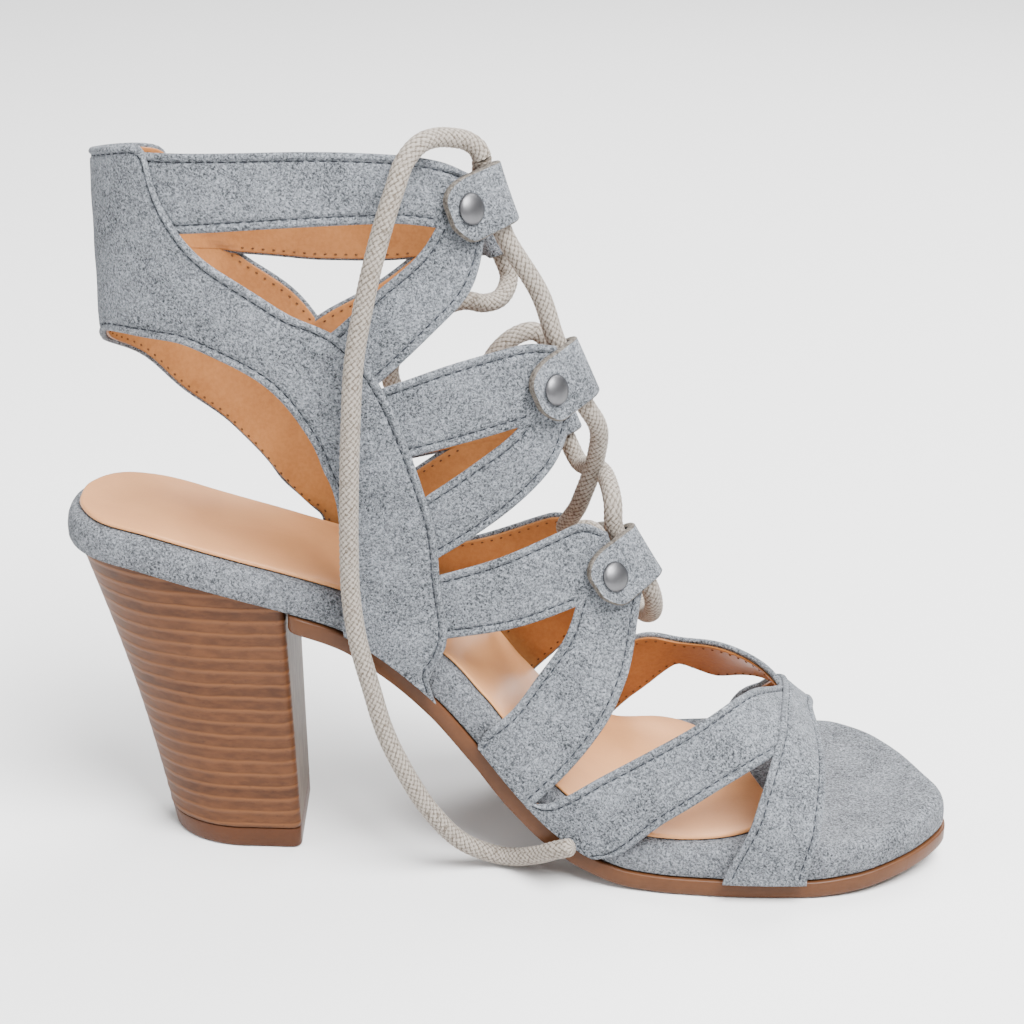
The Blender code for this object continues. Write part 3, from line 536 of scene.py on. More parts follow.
footbed_bottom = above(sole_z, GAP)
footbed_loop = edge_loop(0.0, TOE_TIP - GAP, FOOTBED_POINTS)
footbed_rings = [
    (1.2, footbed_bottom),
    (0.35, above(footbed_bottom, 0.2)),
    (0.0, above(footbed_bottom, 0.9)),
    (-0.15, above(footbed_bottom, 2.6)),
    (-0.15, above(footbed_top, -FOOTBED_ROUND - 1.2)),
    *rounded(footbed_top, FOOTBED_ROUND, 8),
]
piece("footbed_wrap", *slab(footbed_loop, footbed_rings), [WRAP_SUEDE], "grey_suede_wrap", ["footbed"])


def insole_squeeze(x):
    inner, outer = plan(x).T
    inset = 1.0 - 2 * INSOLE_INSET / (outer - inner)
    toe = round_end(INSOLE_END - x, *INSOLE_TOE_ROUND)
    return inset * toe * round_end(x - INSOLE_INSET, *INSOLE_HEEL_ROUND)


def slanted(loop):
    """The insole reaches further forward on the inner side, under the toe band."""
    x, y = loop.T
    share = np.clip((x - INSOLE_SLANT_FROM) / (INSOLE_END - INSOLE_SLANT_FROM), 0.0, 1.0)
    return np.stack([x - INSOLE_SLANT * share * (y - plan(x).mean(1)), y], 1)


insole_bottom = above(footbed_top, GAP)
insole_loop = slanted(edge_loop(INSOLE_INSET, INSOLE_END, SOLE_POINTS, insole_squeeze))
insole_rings = [
    (0.3, insole_bottom),
    (0.0, above(insole_bottom, 0.3)),
    *rounded(above(insole_bottom, INSOLE_THICK), 0.7, 5),
]
piece("insole_sock", *slab(insole_loop, insole_rings, 16), [INSOLE_LEATHER], "tan_lining", ["insole"])

# %% [markdown]
# The heel narrows downwards and its back is slightly hollow. Rings at close heights let each slice of
# leather stand out a little at its joint, as sanding leaves it, so the lines are real and catch light.

# %% stacked heel and its top piece
HEEL_HEIGHT, HEEL_TOP_BACK, HEEL_TOP_FRONT = 80.0, 2.0, 57.2
HEEL_FLOOR_BACK, HEEL_FLOOR_FRONT, HEEL_FLOOR_WIDTH = 26.6, 61.4, 35.0
HEEL_HOLLOW, HEEL_WAIST, HEEL_BEND, HEEL_CORNER = 1.8, 0.8, 0.42, 2.5
SEAT_HALF, SEAT_GAP, TOP_PIECE_HEIGHT = 23.4, 0.05, 5.5
HEEL_SIDE, HEEL_BACK, HEEL_ROUND, HEEL_BREAST, HEEL_RINGS = 14, 84, 6, 14, 110
LAYER_RIDGE = (0.16, 0.77, 0.16)
TOP_PIECE_RINGS = [(0.0, 0.5), (0.15, 0.15), (0.5, 0.0), (5.0, 0.0), (5.35, 0.15), (5.5, 0.5)]


def heel_outline(t, grow=0.0):
    """The heel's outline at height share t: corner, side, round back, side, corner, breast."""
    bow = math.sin(math.pi * t)
    back = lerp(HEEL_FLOOR_BACK, HEEL_TOP_BACK, t) + HEEL_HOLLOW * bow - grow
    front = lerp(HEEL_FLOOR_FRONT, HEEL_TOP_FRONT, t)
    half = lerp(HEEL_FLOOR_WIDTH / 2, SEAT_HALF, t) - HEEL_WAIST * bow + grow
    bend = lerp(front, back, HEEL_BEND)
    turn = np.linspace(0, math.pi / 2, HEEL_ROUND)
    corner = np.stack([front - HEEL_CORNER * (1 - np.cos(turn)), -half + HEEL_CORNER * (1 - np.sin(turn))], 1)
    side_x = np.linspace(front - HEEL_CORNER, bend, HEEL_SIDE)[1:-1]
    side = np.stack([side_x, np.full(len(side_x), -half)], 1)
    a = np.linspace(0, math.pi, HEEL_BACK)
    rear = np.stack([bend - (bend - back) * np.sin(a), -half * np.cos(a)], 1)
    mirror = np.array([1.0, -1.0])
    breast_y = np.linspace(half - HEEL_CORNER, -half + HEEL_CORNER, HEEL_BREAST)[1:-1]
    breast = np.stack([np.full(len(breast_y), front), breast_y], 1)
    return np.vstack([corner, side, rear, side[::-1] * mirror, corner[::-1] * mirror, breast])


def stacked_heel():
    floor = TOP_PIECE_HEIGHT + GAP
    seat = heel_outline(1.0)
    rings = []
    for t in np.linspace(0.0, 1.0, HEEL_RINGS):
        height = lerp(floor, sole_z(seat[:, 0]) - SEAT_GAP, t)
        out = swell((height * MM / LAYER) % 1.0, *LAYER_RIDGE).mean()
        outline = heel_outline(lerp(floor, HEEL_HEIGHT, t) / HEEL_HEIGHT, out)
        rings.append(np.column_stack([outline, height]))
    count = len(seat)
    faces = tube_faces(len(rings), count)
    breast_from = count - HEEL_BREAST + 1
    tints = [int(n % count >= breast_from) for n in range(len(faces) - 2)]
    return np.vstack(rings), faces, [STACK, BREAST], "stacked_leather", ["heel_block"], tints + [0, 0]


piece("stacked_heel", *stacked_heel())


def top_piece():
    rings = []
    for height, inset in TOP_PIECE_RINGS:
        outline = heel_outline(height / HEEL_HEIGHT)
        outline = outline - unit(outline - outline.mean(0)) * inset
        rings.append(np.column_stack([outline, np.full(len(outline), height)]))
    faces = tube_faces(len(rings), len(rings[0]))
    return np.vstack(rings), faces, [LIFT_BROWN], "brown_lift", ["heel_top_piece"]


piece("heel_lift", *top_piece())

# %% [markdown]
# The upper is drawn on a last: sections fanned out from the ankle to the toe. A point on it has two
# coordinates, the section s and the turn round it in degrees, and straps are pinned to it by the places
# of their edges, seen from the side or from above.

# %% the last
LAST_ROWS = [
    # ridge x, z      wide x, z       low x, z       half   closed inner outer
    (109.0, 202.0, 56.0, 200.0, 10.2, 197.0, 24.0, 1.0, 2.5, 2.5),
    (113.0, 184.0, 57.0, 180.0, 10.7, 177.0, 25.5, 1.0, 2.5, 2.5),
    (121.0, 164.0, 60.0, 158.0, 11.6, 156.0, 27.0, 1.0, 2.5, 2.5),
    (131.0, 143.0, 63.0, 136.0, 12.4, 135.0, 28.0, 1.0, 2.5, 2.5),
    (139.0, 124.0, 68.0, 108.0, 16.0, 112.0, 27.5, 0.9, 2.5, 2.4),
    (146.5, 105.0, 76.0, 76.0, 60.0, 68.0, 25.0, 0.3, 2.5, 2.3),
    (153.5, 86.0, 97.0, 51.5, 93.0, 40.0, 25.0, 0.0, 2.5, 2.2),
    (161.0, 71.0, 119.0, 26.5, 116.0, 14.0, 29.0, 0.0, 2.6, 2.1),
    (172.0, 56.0, 143.0, 11.0, 142.0, 1.0, 35.0, 0.0, 2.7, 2.0),
    (186.0, 41.0, 170.0, 9.5, 170.0, 1.0, 39.0, 0.0, 3.0, 2.0),
    (198.0, 29.5, 192.0, 9.5, 192.0, 1.0, 39.0, 0.0, 3.0, 2.0),
    (207.0, 22.0, 207.0, 9.5, 207.0, 1.0, 36.0, 0.0, 3.0, 2.0),
]
LAST_CLEAR, SOLE_GAP, BESIDE = 0.7, 0.6, 9.0
LAST_END, LOW_Z = len(LAST_ROWS) - 1.0, 5
last_row = Curve([(i, *row) for i, row in enumerate(LAST_ROWS)])


def edge_at(x, side):
    return np.abs(np.where(side > 0, *plan(x).T[::-1])) + LAST_CLEAR


def last_points(place):
    """Points of the last at rows of (s, turn)."""
    s, turn = place[..., 0].ravel(), place[..., 1].ravel()
    turn = np.where(np.abs(turn) > 180.0, turn - np.copysign(360.0, turn), turn)
    ridge_x, ridge_z, wide_x, wide_z, low_x, low_z, half, closed, inner, outer = last_row(s).T
    side = np.copysign(1.0, turn)
    angle = np.radians(np.abs(turn))
    half = closed * half + (1.0 - closed) * edge_at(wide_x, side)
    power = 2.0 / np.where(side > 0, outer, inner)
    upper = angle <= math.pi / 2
    rise = np.minimum(angle, math.pi / 2)
    past = np.maximum(angle - math.pi / 2, 0.0)
    along = np.where(
        upper,
        1.0 - np.abs(np.cos(rise)) ** power,
        (1.0 - closed) * past / (math.pi / 2) + closed * np.sin(past),
    )
    across = np.where(upper, np.abs(np.sin(rise)) ** power, 1.0 - closed + closed * np.cos(past))
    from_x, from_z = np.where(upper, ridge_x, wide_x), np.where(upper, ridge_z, wide_z)
    to_x, to_z = np.where(upper, wide_x, low_x), np.where(upper, wide_z, low_z)
    x, z = lerp(from_x, to_x, along), lerp(from_z, to_z, along)
    y = half * across
    beside = np.clip((footbed_top(x) + BESIDE - z) / BESIDE, 0.0, 1.0)
    y = y + np.maximum(edge_at(x, side) - y, 0.0) * beside
    return np.stack([x, side * y, z], -1).reshape(*place.shape[:-1], 3)


STEP, WIDE_STEP = np.array([0.02, 0.3]), np.array([0.05, 1.5])


def spans(place, step):
    """How a point of the last moves from one step before to one step after, by s and by turn."""
    return [last_points(place + step * axis) - last_points(place - step * axis) for axis in np.eye(2)]


def last_slopes(place):
    """How fast a point of the last moves with s and with turn."""
    return [span / (2 * step) for span, step in zip(spans(place, STEP), STEP)]


def last_normals(place):
    return unit(np.cross(*spans(place, WIDE_STEP)))


def solve(one, two, goal):
    """The shares of two slopes that come closest to a goal vector."""
    aa, ab, bb = (one * one).sum(-1), (one * two).sum(-1), (two * two).sum(-1)
    ga, gb = (one * goal).sum(-1), (two * goal).sum(-1)
    under = np.maximum(aa * bb - ab * ab, 1e-12)
    return np.stack([(ga * bb - gb * ab) / under, (gb * aa - ga * ab) / under], -1)


GRID_S, GRID_TURN = np.arange(0.0, LAST_END + 0.01, 0.25), np.arange(4.0, 179.0, 5.0)
GRID = np.array([(s, turn) for s in GRID_S for turn in GRID_TURN])
GRID_POINTS = {side: last_points(GRID * [1.0, side]) for side in (-1.0, 1.0)}
print("last sampled at", len(GRID), "places a side")

# %% [markdown]
# A pin is found by looking for the nearest of those samples and then walking downhill to the exact place,
# as a last maker would set a compass near a mark and then nudge it.

# %% pins on the last
BACK_END, BACK_SAMPLES = 5.0, 4001
PIN_ROUNDS, PIN_MOVE = 30, np.array([0.3, 6.0])


def pin_place(pin, side):
    """The place on the last of a pin: seen from the side, from above, behind the heel or at the sole."""
    if pin[0] == "back":
        s = np.linspace(0.0, BACK_END, BACK_SAMPLES)
        return np.array([s[np.argmin(np.abs(last_row(s)[:, LOW_Z] - pin[1]))], side * 180.0])
    if pin[0] == "sole":
        pin = (pin[1], sole_z(pin[1])[0] + SOLE_GAP)
    if len(pin) == 2:
        keep, goal, fits = [0, 2], np.array(pin), np.ones(len(GRID), bool)
    else:
        keep, goal, fits = [0, 1], np.array([pin[0], pin[2]]), GRID[:, 1] <= 90.0
        side = math.copysign(1.0, pin[2])
    miss = np.linalg.norm(GRID_POINTS[side][:, keep] - goal, axis=1)
    place = GRID[np.argmin(np.where(fits, miss, 1e9))] * [1.0, side]
    for _ in range(PIN_ROUNDS):
        one, two = (slope[keep] for slope in last_slopes(place))
        move = solve(one, two, goal - last_points(place)[keep])
        place = place + np.clip(move, -PIN_MOVE, PIN_MOVE)
        place[0] = np.clip(place[0], 0.0, LAST_END)
    return place


SHARES = np.linspace(0.0, 1.0, 9)


def strap_places(rows, side):
    """Each row's places on the last, from its upper pin to its lower pin."""
    table = []
    for upper, lower in rows:
        if upper[0] == "sole":
            line = [("sole", lerp(upper[1], lower[1], share)) for share in SHARES]
            table.append([pin_place(pin, side) for pin in line])
        else:
            first, last = pin_place(upper, side), pin_place(lower, side)
            table.append([lerp(first, last, share) for share in SHARES])
    return table


def lowered(rows, drop):
    return [tuple((pin[0] + drop[0], pin[1] + drop[1]) for pin in row) for row in rows]


print("pin test", pin_place((100.5, 176.0), -1.0).round(3).tolist())

# %% [markdown]
# The strap tables. Each row is one line across a strap, as a pin on each of its two edges. A pin is (x, z)
# seen from the side, (x, None, y) seen from above, or lies at the sole or behind the heel. The quarters
# run from the inner side's sole up, round behind the heel, and down the outer side.

# %% strap tables
QUARTER_INNER = [
    (("sole", 96.5), ("sole", 72.5)), ((97.0, 59.0), (72.4, 76.0)), ((97.2, 76.0), (72.0, 88.0)),
    ((94.5, 97.0), (70.5, 103.0)), ((89.0, 115.0), (66.5, 114.0)), ((83.0, 130.0), (60.5, 125.0)),
    ((72.0, 145.0), (53.0, 133.0)), ((52.0, 155.0), (42.0, 138.5)), ((36.0, 165.0), (31.0, 141.5)),
    ((27.5, 177.5), (21.0, 141.0)), ((23.5, 189.0), (14.5, 139.5)), (("back", 183.5), ("back", 134.0)),
]
QUARTER_OUTER = [
    ((24.0, 179.5), (19.0, 126.0)), ((28.0, 168.0), (28.0, 115.0)), ((40.0, 152.0), (40.0, 104.5)),
    ((58.0, 138.0), (49.0, 95.0)), ((72.0, 122.0), (56.0, 86.0)), ((81.0, 102.0), (61.0, 80.0)),
    ((86.5, 80.0), (63.5, 77.5)), ((88.0, 64.0), (64.0, 73.5)), (("sole", 88.5), ("sole", 64.0)),
]
ANKLE_STRAP = [
    ((20.0, 186.5), (25.0, 167.0)), ((54.0, 189.5), (58.0, 171.5)), ((82.0, 189.5), (82.0, 173.0)),
    ((94.0, 187.5), (95.0, 171.5)), ((101.0, 184.0), (105.0, 169.0)),
]
ANKLE_OUTER = [
    ((20.0, 177.0), (25.0, 152.0)), ((54.0, 176.0), (56.0, 148.5)), ((80.0, 172.0), (80.0, 148.5)),
    ((92.0, 169.5), (93.0, 150.5)), ((100.0, 167.5), (104.0, 152.5)),
]
TOP_DIAGONAL = [
    ((62.0, 141.0), (72.0, 126.0)), ((79.0, 156.0), (93.0, 146.0)), ((90.0, 166.0), (102.5, 157.0)),
    ((97.0, 179.5), (105.0, 169.3)),
]
TOP_DIAGONAL_OUTER = [
    ((52.0, 124.0), (64.0, 110.0)), ((72.0, 139.0), (86.0, 127.0)), ((85.0, 149.0), (98.5, 139.5)),
    ((96.0, 162.5), (104.0, 152.8)),
]
MIDDLE_UPPER = [
    ((74.0, 130.0), (78.0, 112.0)), ((101.0, 139.5), (104.0, 119.0)), ((115.0, 142.5), (117.0, 122.5)),
    ((123.0, 141.0), (128.0, 126.0)),
]
MIDDLE_LOWER = [
    ((84.0, 98.0), (88.0, 82.0)), ((105.0, 113.5), (110.0, 97.0)), ((115.0, 122.0), (124.0, 111.5)),
    ((119.5, 135.5), (128.0, 126.3)),
]
MIDDLE_LOWER_OUTER = [
    ((78.0, 84.0), (84.0, 63.0)), ((94.0, 96.5), (104.0, 79.0)), ((106.0, 105.0), (118.0, 92.5)),
    ((115.5, 114.5), (124.0, 105.3)),
]
LOWER_UPPER = [
    ((88.0, 80.0), (88.0, 63.0)), ((114.0, 88.0), (117.0, 68.5)), ((130.0, 95.0), (132.0, 74.0)),
    ((138.0, 92.0), (143.5, 78.5)),
]
LOWER_DIAGONAL = [
    (("sole", 107.5), ("sole", 121.0)), ((114.0, 44.5), (129.5, 29.5)), ((122.0, 55.5), (138.8, 42.0)),
    ((128.5, 65.5), (145.0, 56.0)), ((133.0, 84.0), (147.6, 76.5)),
]
LOWER_DIAGONAL_OUTER = [
    (("sole", 104.0), ("sole", 118.5)), ((110.5, 41.0), (122.0, 28.5)), ((117.0, 48.0), (129.5, 37.0)),
    ((123.0, 56.0), (137.0, 47.0)), ((129.0, 70.0), (139.5, 64.8)),
]
V_STRAP = [
    (("sole", 117.5), ("sole", 138.0)), ((131.0, 25.0), (149.0, 14.5)), ((150.6, 37.5), (161.3, 24.2)),
    ((165.0, None, -27.6), (172.0, None, -34.9)), ((178.5, None, -13.5), (184.0, None, -28.3)),
    ((188.0, None, 6.0), (195.0, None, -10.0)),
]
V_STRAP_OUTER = [
    (("sole", 114.5), ("sole", 135.0)), ((127.0, 26.0), (144.0, 12.5)), ((141.0, 36.0), (154.0, 22.5)),
    ((152.8, 43.0), (164.0, 32.5)), ((163.7, None, 28.4), (173.5, None, 36.5)),
    ((172.1, None, 24.7), (181.0, None, 33.0)), ((180.5, None, 18.0), (187.5, None, 25.0)),
    ((187.5, None, 3.0), (193.0, None, 13.0)),
]
TOE_BAND_INNER = [
    (("sole", 171.0), ("sole", 192.5)), ((175.4, 16.5), (194.7, 16.5)),
    ((179.3, None, -35.9), (195.4, None, -34.2)), ((182.0, None, -29.5), (195.8, None, -27.0)),
    ((184.6, None, -15.0), (196.0, None, -13.6)),
]
TOE_BAND_OUTER = [
    ((186.8, None, 2.0), (195.4, None, 3.0)), ((187.6, None, 16.0), (197.4, None, 17.0)),
    ((187.2, None, 30.0), (198.4, None, 30.0)), ((185.0, None, 38.5), (198.2, None, 38.0)),
    ((179.5, 16.5), (197.0, 16.5)), (("sole", 176.0), ("sole", 196.0)),
]
TOP_DROP, MIDDLE_DROP, LOWER_DROP = (-0.5, -16.0), (-4.0, -21.0), (-4.0, -14.0)
print("strap tables ready")

# %% [markdown]
# A strap's middle sheet is a cubic spline surface through places on the last. Splines smooth the small
# kinks between the last's sections. The rows lie closer together at the ends, and the columns at the
# edges, where the leather is folded over and sewn.

# %% the sheet of a strap
EDGE_COLUMNS = np.array([0.0, 0.10, 0.30, 0.62, 1.0, 1.45, 1.8, 2.15, 2.5, 2.9, 3.5])
END_ROWS = np.array([0.0, 0.10, 0.30, 0.62, 1.0, 1.6])
ROW_STEP, COLUMN_STEP, STATIONS, ACROSS, EDGE_PART = 1.9, 2.0, 4, 41, 2.4


def spline_weights(at, count):
    """Weights of a cubic B-spline with one extra control at each end."""
    i = np.clip(np.floor(at).astype(int), 0, count - 2)
    t = at - i
    parts = [(1 - t) ** 3, 3 * t**3 - 6 * t**2 + 4, -3 * t**3 + 3 * t**2 + 3 * t + 1, t**3]
    weights = np.zeros((len(at), count + 2))
    for k, part in enumerate(parts):
        weights[np.arange(len(at)), i + k] = part / 6
    return weights


def with_ends(control):
    """One more control beyond each end of the first axis, so that the spline reaches the ends."""
    return np.concatenate([2 * control[:1] - control[1:2], control, 2 * control[-1:] - control[-2:-1]])


class Sheet:
    """A strap's sheet: points, normals, and each point's distance to its nearest edge and end."""

    def __init__(self, name, table, lift, inset=0.0):
        self.name, self.lift = name, lift
        line_at = Curve([(i, *np.ravel(row)) for i, row in enumerate(table)])
        stations = np.linspace(0, len(table) - 1, (len(table) - 1) * STATIONS + 1)
        places = line_at(stations).reshape(len(stations), -1, 2)
        facing = last_normals(places)
        control = last_points(places) + facing * lift
        run = run_of(control[:, control.shape[1] // 2])
        ends = END_ROWS + inset
        body_count = max(int((run[-1] - 2 * ends[-1]) / ROW_STEP), 3)
        body = np.linspace(ends[-1], run[-1] - ends[-1], body_count)
        self.along = np.concatenate([ends[:-1], body, (run[-1] - ends[:-1])[::-1]])
        self.row_run = run[::STATIONS]
        at = np.interp(self.along, run, np.arange(len(run)))
        lines = np.einsum("ij,jkl->ikl", spline_weights(at, len(run)), with_ends(control))
        count = lines.shape[1]
        weights = spline_weights(np.linspace(0, count - 1, ACROSS), count)
        dense = np.einsum("ij,jkl->kil", weights, with_ends(lines.swapaxes(0, 1)))
        across = np.array([run_of(line) for line in dense])
        inner_count = max(int((across[:, -1].mean() - 2 * EDGE_COLUMNS[-1]) / COLUMN_STEP), 3)
        self.points, self.side = [], []
        for line, run_across in zip(dense, across):
            wide = run_across[-1]
            edge = (EDGE_COLUMNS + inset) * min(1.0, wide / EDGE_PART / (EDGE_COLUMNS[-1] + inset))
            middle = np.linspace(edge[-1], wide - edge[-1], inner_count)
            columns = np.concatenate([edge[:-1], middle, wide - edge[:-1][::-1]])
            self.points.append(along_run(columns, run_across, line))
            self.side.append(np.minimum(columns, wide - columns))
        self.points, self.side = np.array(self.points), np.array(self.side)
        end = np.minimum(self.along, run[-1] - self.along)
        self.end = np.broadcast_to(end[:, None], self.side.shape)
        normal = unit(np.cross(np.gradient(self.points, axis=0), np.gradient(self.points, axis=1)))
        rows, columns = self.side.shape
        outward = facing[len(stations) // 2, count // 2]
        self.normal = normal if normal[rows // 2, columns // 2] @ outward > 0 else -normal

    def reach(self):
        """Each point's distance to the border."""
        return np.minimum(self.side, self.end)


print("sheet class ready")

# %% [markdown]
# Straps meet in two ways. Two that share a lace tab are cut from one skin, so their edges run into each
# other; and the quarters and the toe band lie over the others, whose hidden ends are pared thin. A tree of
# each sheet's points tells how far inside another strap a point lies.

# %% the straps of the cage
STRAP_THICK, QUARTER_THICK, PANEL_LIFT, JOIN_LIFT = 2.0, 2.2, 1.0, 0.06


def cage_tables():
    quarters = strap_places(QUARTER_INNER, -1.0)
    for row in strap_places(QUARTER_OUTER, 1.0):
        quarters.append([place - [0.0, 360.0] for place in row])
    band = strap_places(TOE_BAND_INNER, -1.0) + strap_places(TOE_BAND_OUTER, 1.0)
    tables = {"quarter": (quarters, PANEL_LIFT, 1), "toe_band": (band, PANEL_LIFT, 1)}
    pairs = {
        "ankle_strap": (ANKLE_STRAP, ANKLE_OUTER, 0.0),
        "top_diagonal": (TOP_DIAGONAL, TOP_DIAGONAL_OUTER, JOIN_LIFT),
        "middle_upper": (MIDDLE_UPPER, lowered(MIDDLE_UPPER, MIDDLE_DROP), 0.0),
        "middle_lower": (MIDDLE_LOWER, MIDDLE_LOWER_OUTER, JOIN_LIFT),
        "lower_upper": (LOWER_UPPER, lowered(LOWER_UPPER, LOWER_DROP), 0.0),
        "lower_diagonal": (LOWER_DIAGONAL, LOWER_DIAGONAL_OUTER, JOIN_LIFT),
        "v_strap": (V_STRAP, V_STRAP_OUTER, 0.0),
    }
    for name, (inner, outer, lift) in pairs.items():
        tables[name + "_inner"] = (strap_places(inner, -1.0), lift, 0)
        tables[name + "_outer"] = (strap_places(outer, 1.0), lift, 0)
    return tables


TABLES = cage_tables()
sheets = {name: Sheet(name, table, lift) for name, (table, lift, _) in TABLES.items()}
RANK = {name: rank for name, (_, _, rank) in TABLES.items()}


def point_tree(sheet):
    points = sheet.points.reshape(-1, 3)
    tree = kdtree.KDTree(len(points))
    for i, point in enumerate(points):
        tree.insert(point, i)
    tree.balance()
    return tree, sheet.reach().ravel()


TREES = {name: point_tree(sheet) for name, sheet in sheets.items()}
REACH = 3.2


def inside(points, name, above_it):
    """How far each point lies inside the other straps of its own rank, or of the rank above it."""
    flat = points.reshape(-1, 3)
    deep = np.zeros(len(flat))
    for other, (tree, depth) in TREES.items():
        if other == name or RANK[other] - RANK[name] != int(above_it):
            continue
        for i, point in enumerate(flat):
            _, index, distance = tree.find(point)
            if distance < REACH:
                deep[i] = max(deep[i], depth[index])
    return deep.reshape(points.shape[:-1])


print("sheets", {name: sheet.points.shape[:2] for name, sheet in sheets.items()})

# %% [markdown]
# A strap is a pillow: an outer and an inner skin that share their border. The outer layer's edge is folded
# and sewn, so it is round, swells a little, and dips along the stitches. Under it lies a lining, cut
# back from the edge. Both are true layers, because the shoe is open and shows its inside.

# %% suede and lining layers
STITCH_COLUMN, FOLD_ROUND, SEWN_FROM = 7, 0.72, 3.0
LINING_THICK, LINING_ROUND, LINING_INSET, LINING_FULL = 0.62, 0.4, 0.85, 0.03
JOINED, PARED, PARED_RISE, LINING_RISE = (0.3, 1.0), (0.0, 3.0), 0.7, 1.05
GROOVE, FOLD = (0.55, EDGE_COLUMNS[STITCH_COLUMN], 0.44), (0.24, 1.05, 0.6)
SEAM_GROOVE, SEAM_FOLD = (0.40, 0.0, 0.45), (0.16, 1.3, 0.7)
DETAIL_FROM = 0.8


def soft_wave(points):
    """Slow unevenness of hand-lasted leather, in millimetres."""
    x, y, z = points[..., 0], points[..., 1], points[..., 2]
    return 0.09 * np.sin(x / 3.1 + z / 5.3) * np.sin(y / 4.7 - z / 3.7) + 0.07 * np.sin(z / 2.3 + x / 7.9)


def pillow(over, under):
    """Points and faces of two skins with one border."""
    rows, columns = over.shape[:2]
    faces = grid_faces(rows, columns) + [face[::-1] for face in grid_faces(rows, columns, rows * columns)]
    return np.vstack([over.reshape(-1, 3), under.reshape(-1, 3)]), faces


def fullness(sheet, radius, cover=0.0):
    """0 at a layer's border and 1 further in; cover fills the border where straps run into each other."""
    round_edge = round_end(sheet.reach(), radius)
    return np.where(sheet.reach() <= 1e-6, 0.0, round_edge + (1.0 - round_edge) * cover)


def depth_share(sheet, above_it, limits):
    deep = inside(sheet.points, sheet.name, above_it)
    return np.clip((deep - limits[0]) / (limits[1] - limits[0]), 0.0, 1.0)


def suede_layer(sheet, thick):
    joined, pared = depth_share(sheet, False, JOINED), depth_share(sheet, True, PARED)
    half = (thick - LINING_THICK) / 2
    middle = LINING_THICK + half
    full = fullness(sheet, FOLD_ROUND, joined)
    sewn = np.where(sheet.end > SEWN_FROM, sheet.side, math.inf)
    relief = soft_wave(sheet.points) - swell(sewn, *GROOVE) + swell(sewn, *FOLD)
    relief = relief * (1.0 - joined) * np.clip(sheet.reach() / DETAIL_FROM, 0.0, 1.0)
    if sheet.name == "quarter":
        seam = np.abs(sheet.along[:, None] - sheet.row_run[len(QUARTER_INNER) - 1])
        relief = relief - swell(seam, *SEAM_GROOVE) + swell(seam, *SEAM_FOLD)
    over = sheet.points + sheet.normal * (middle + half * full + relief * np.sign(full))[..., None]
    low = middle - half * full + np.minimum(pared, full) * PARED_RISE
    under = sheet.points + sheet.normal * np.where(full > 0, low, middle)[..., None]
    return over, under, joined, pared


def lining_layer(sheet):
    lining = Sheet(sheet.name, TABLES[sheet.name][0], sheet.lift, LINING_INSET)
    lining.side, lining.end = lining.side - LINING_INSET, lining.end - LINING_INSET
    middle = LINING_THICK / 2 + LINING_RISE * depth_share(lining, True, PARED)
    half = (LINING_THICK / 2 + LINING_FULL) * fullness(lining, LINING_ROUND)
    return [lining.points + lining.normal * (middle + way * half)[..., None] for way in (1.0, -1.0)]


GROUPS = {
    "quarters": ["quarter"],
    "toe_band": ["toe_band"],
    "ankle_straps": ["ankle_strap", "top_diagonal"],
    "middle_straps": ["middle_upper", "middle_lower"],
    "lower_straps": ["lower_upper", "lower_diagonal"],
    "v_straps": ["v_strap"],
}


def gathered(parts):
    """One mesh from several."""
    points, faces, start = [], [], 0
    for some_points, some_faces in parts:
        points.append(some_points)
        faces += [tuple(np.add(face, start)) for face in some_faces]
        start += len(some_points)
    return np.vstack(points), faces


layers = {}
for group, straps in GROUPS.items():
    suede_parts, lining_parts = [], []
    for name in sheets:
        if name.removesuffix("_inner").removesuffix("_outer") not in straps:
            continue
        thick = QUARTER_THICK if name == "quarter" else STRAP_THICK
        layers[name] = suede_layer(sheets[name], thick)
        suede_parts.append(pillow(*layers[name][:2]))
        lining_parts.append(pillow(*lining_layer(sheets[name])))
    piece(group + "_suede", *gathered(suede_parts), [UPPER_SUEDE], "grey_suede", ["upper"])
    piece(group + "_lining", *gathered(lining_parts), [LINING], "tan_lining", ["upper"])

# %% [markdown]
# Stitches follow both edges of every strap, about two millimetres in. Each is a small grain of thread that
# sinks into the leather at its ends; small closed meshes show in every view, and a bump wouldn't
# give their gaps. No stitch is made where another strap covers the edge.

# %% stitches
STITCH_PITCH, STITCH_RADIUS, STITCH_LENGTH, DOT_LENGTH = 2.7, 0.27, 1.8, 0.8
STITCH_MARGIN, STITCH_LIFT, STITCH_FLAT, STITCH_HIDDEN, DOT_LIFT = 2.0, 0.06, 0.8, 0.15, 0.02
STITCH_SPAN = np.array([-0.6, 0.6])
GRAIN_SIDES, GRAIN_RINGS = 6, 4


def thread_grain():
    """A unit grain along x: points, with its two ends last, and faces."""
    points = []
    for a in np.linspace(0, math.pi, GRAIN_RINGS + 2)[1:-1]:
        for b in np.linspace(0, 2 * math.pi, GRAIN_SIDES, endpoint=False):
            points.append((-math.cos(a), math.sin(a) * math.cos(b), math.sin(a) * math.sin(b)))
    faces = grid_faces(GRAIN_RINGS, GRAIN_SIDES, 0, True)
    tail, head, last = len(points), len(points) + 1, (GRAIN_RINGS - 1) * GRAIN_SIDES
    for k in range(GRAIN_SIDES):
        n = (k + 1) % GRAIN_SIDES
        faces += [(tail, n, k), (head, last + k, last + n)]
    return np.array(points + [(-1, 0, 0), (1, 0, 0)], float), faces


GRAIN_POINTS, GRAIN_FACES = thread_grain()


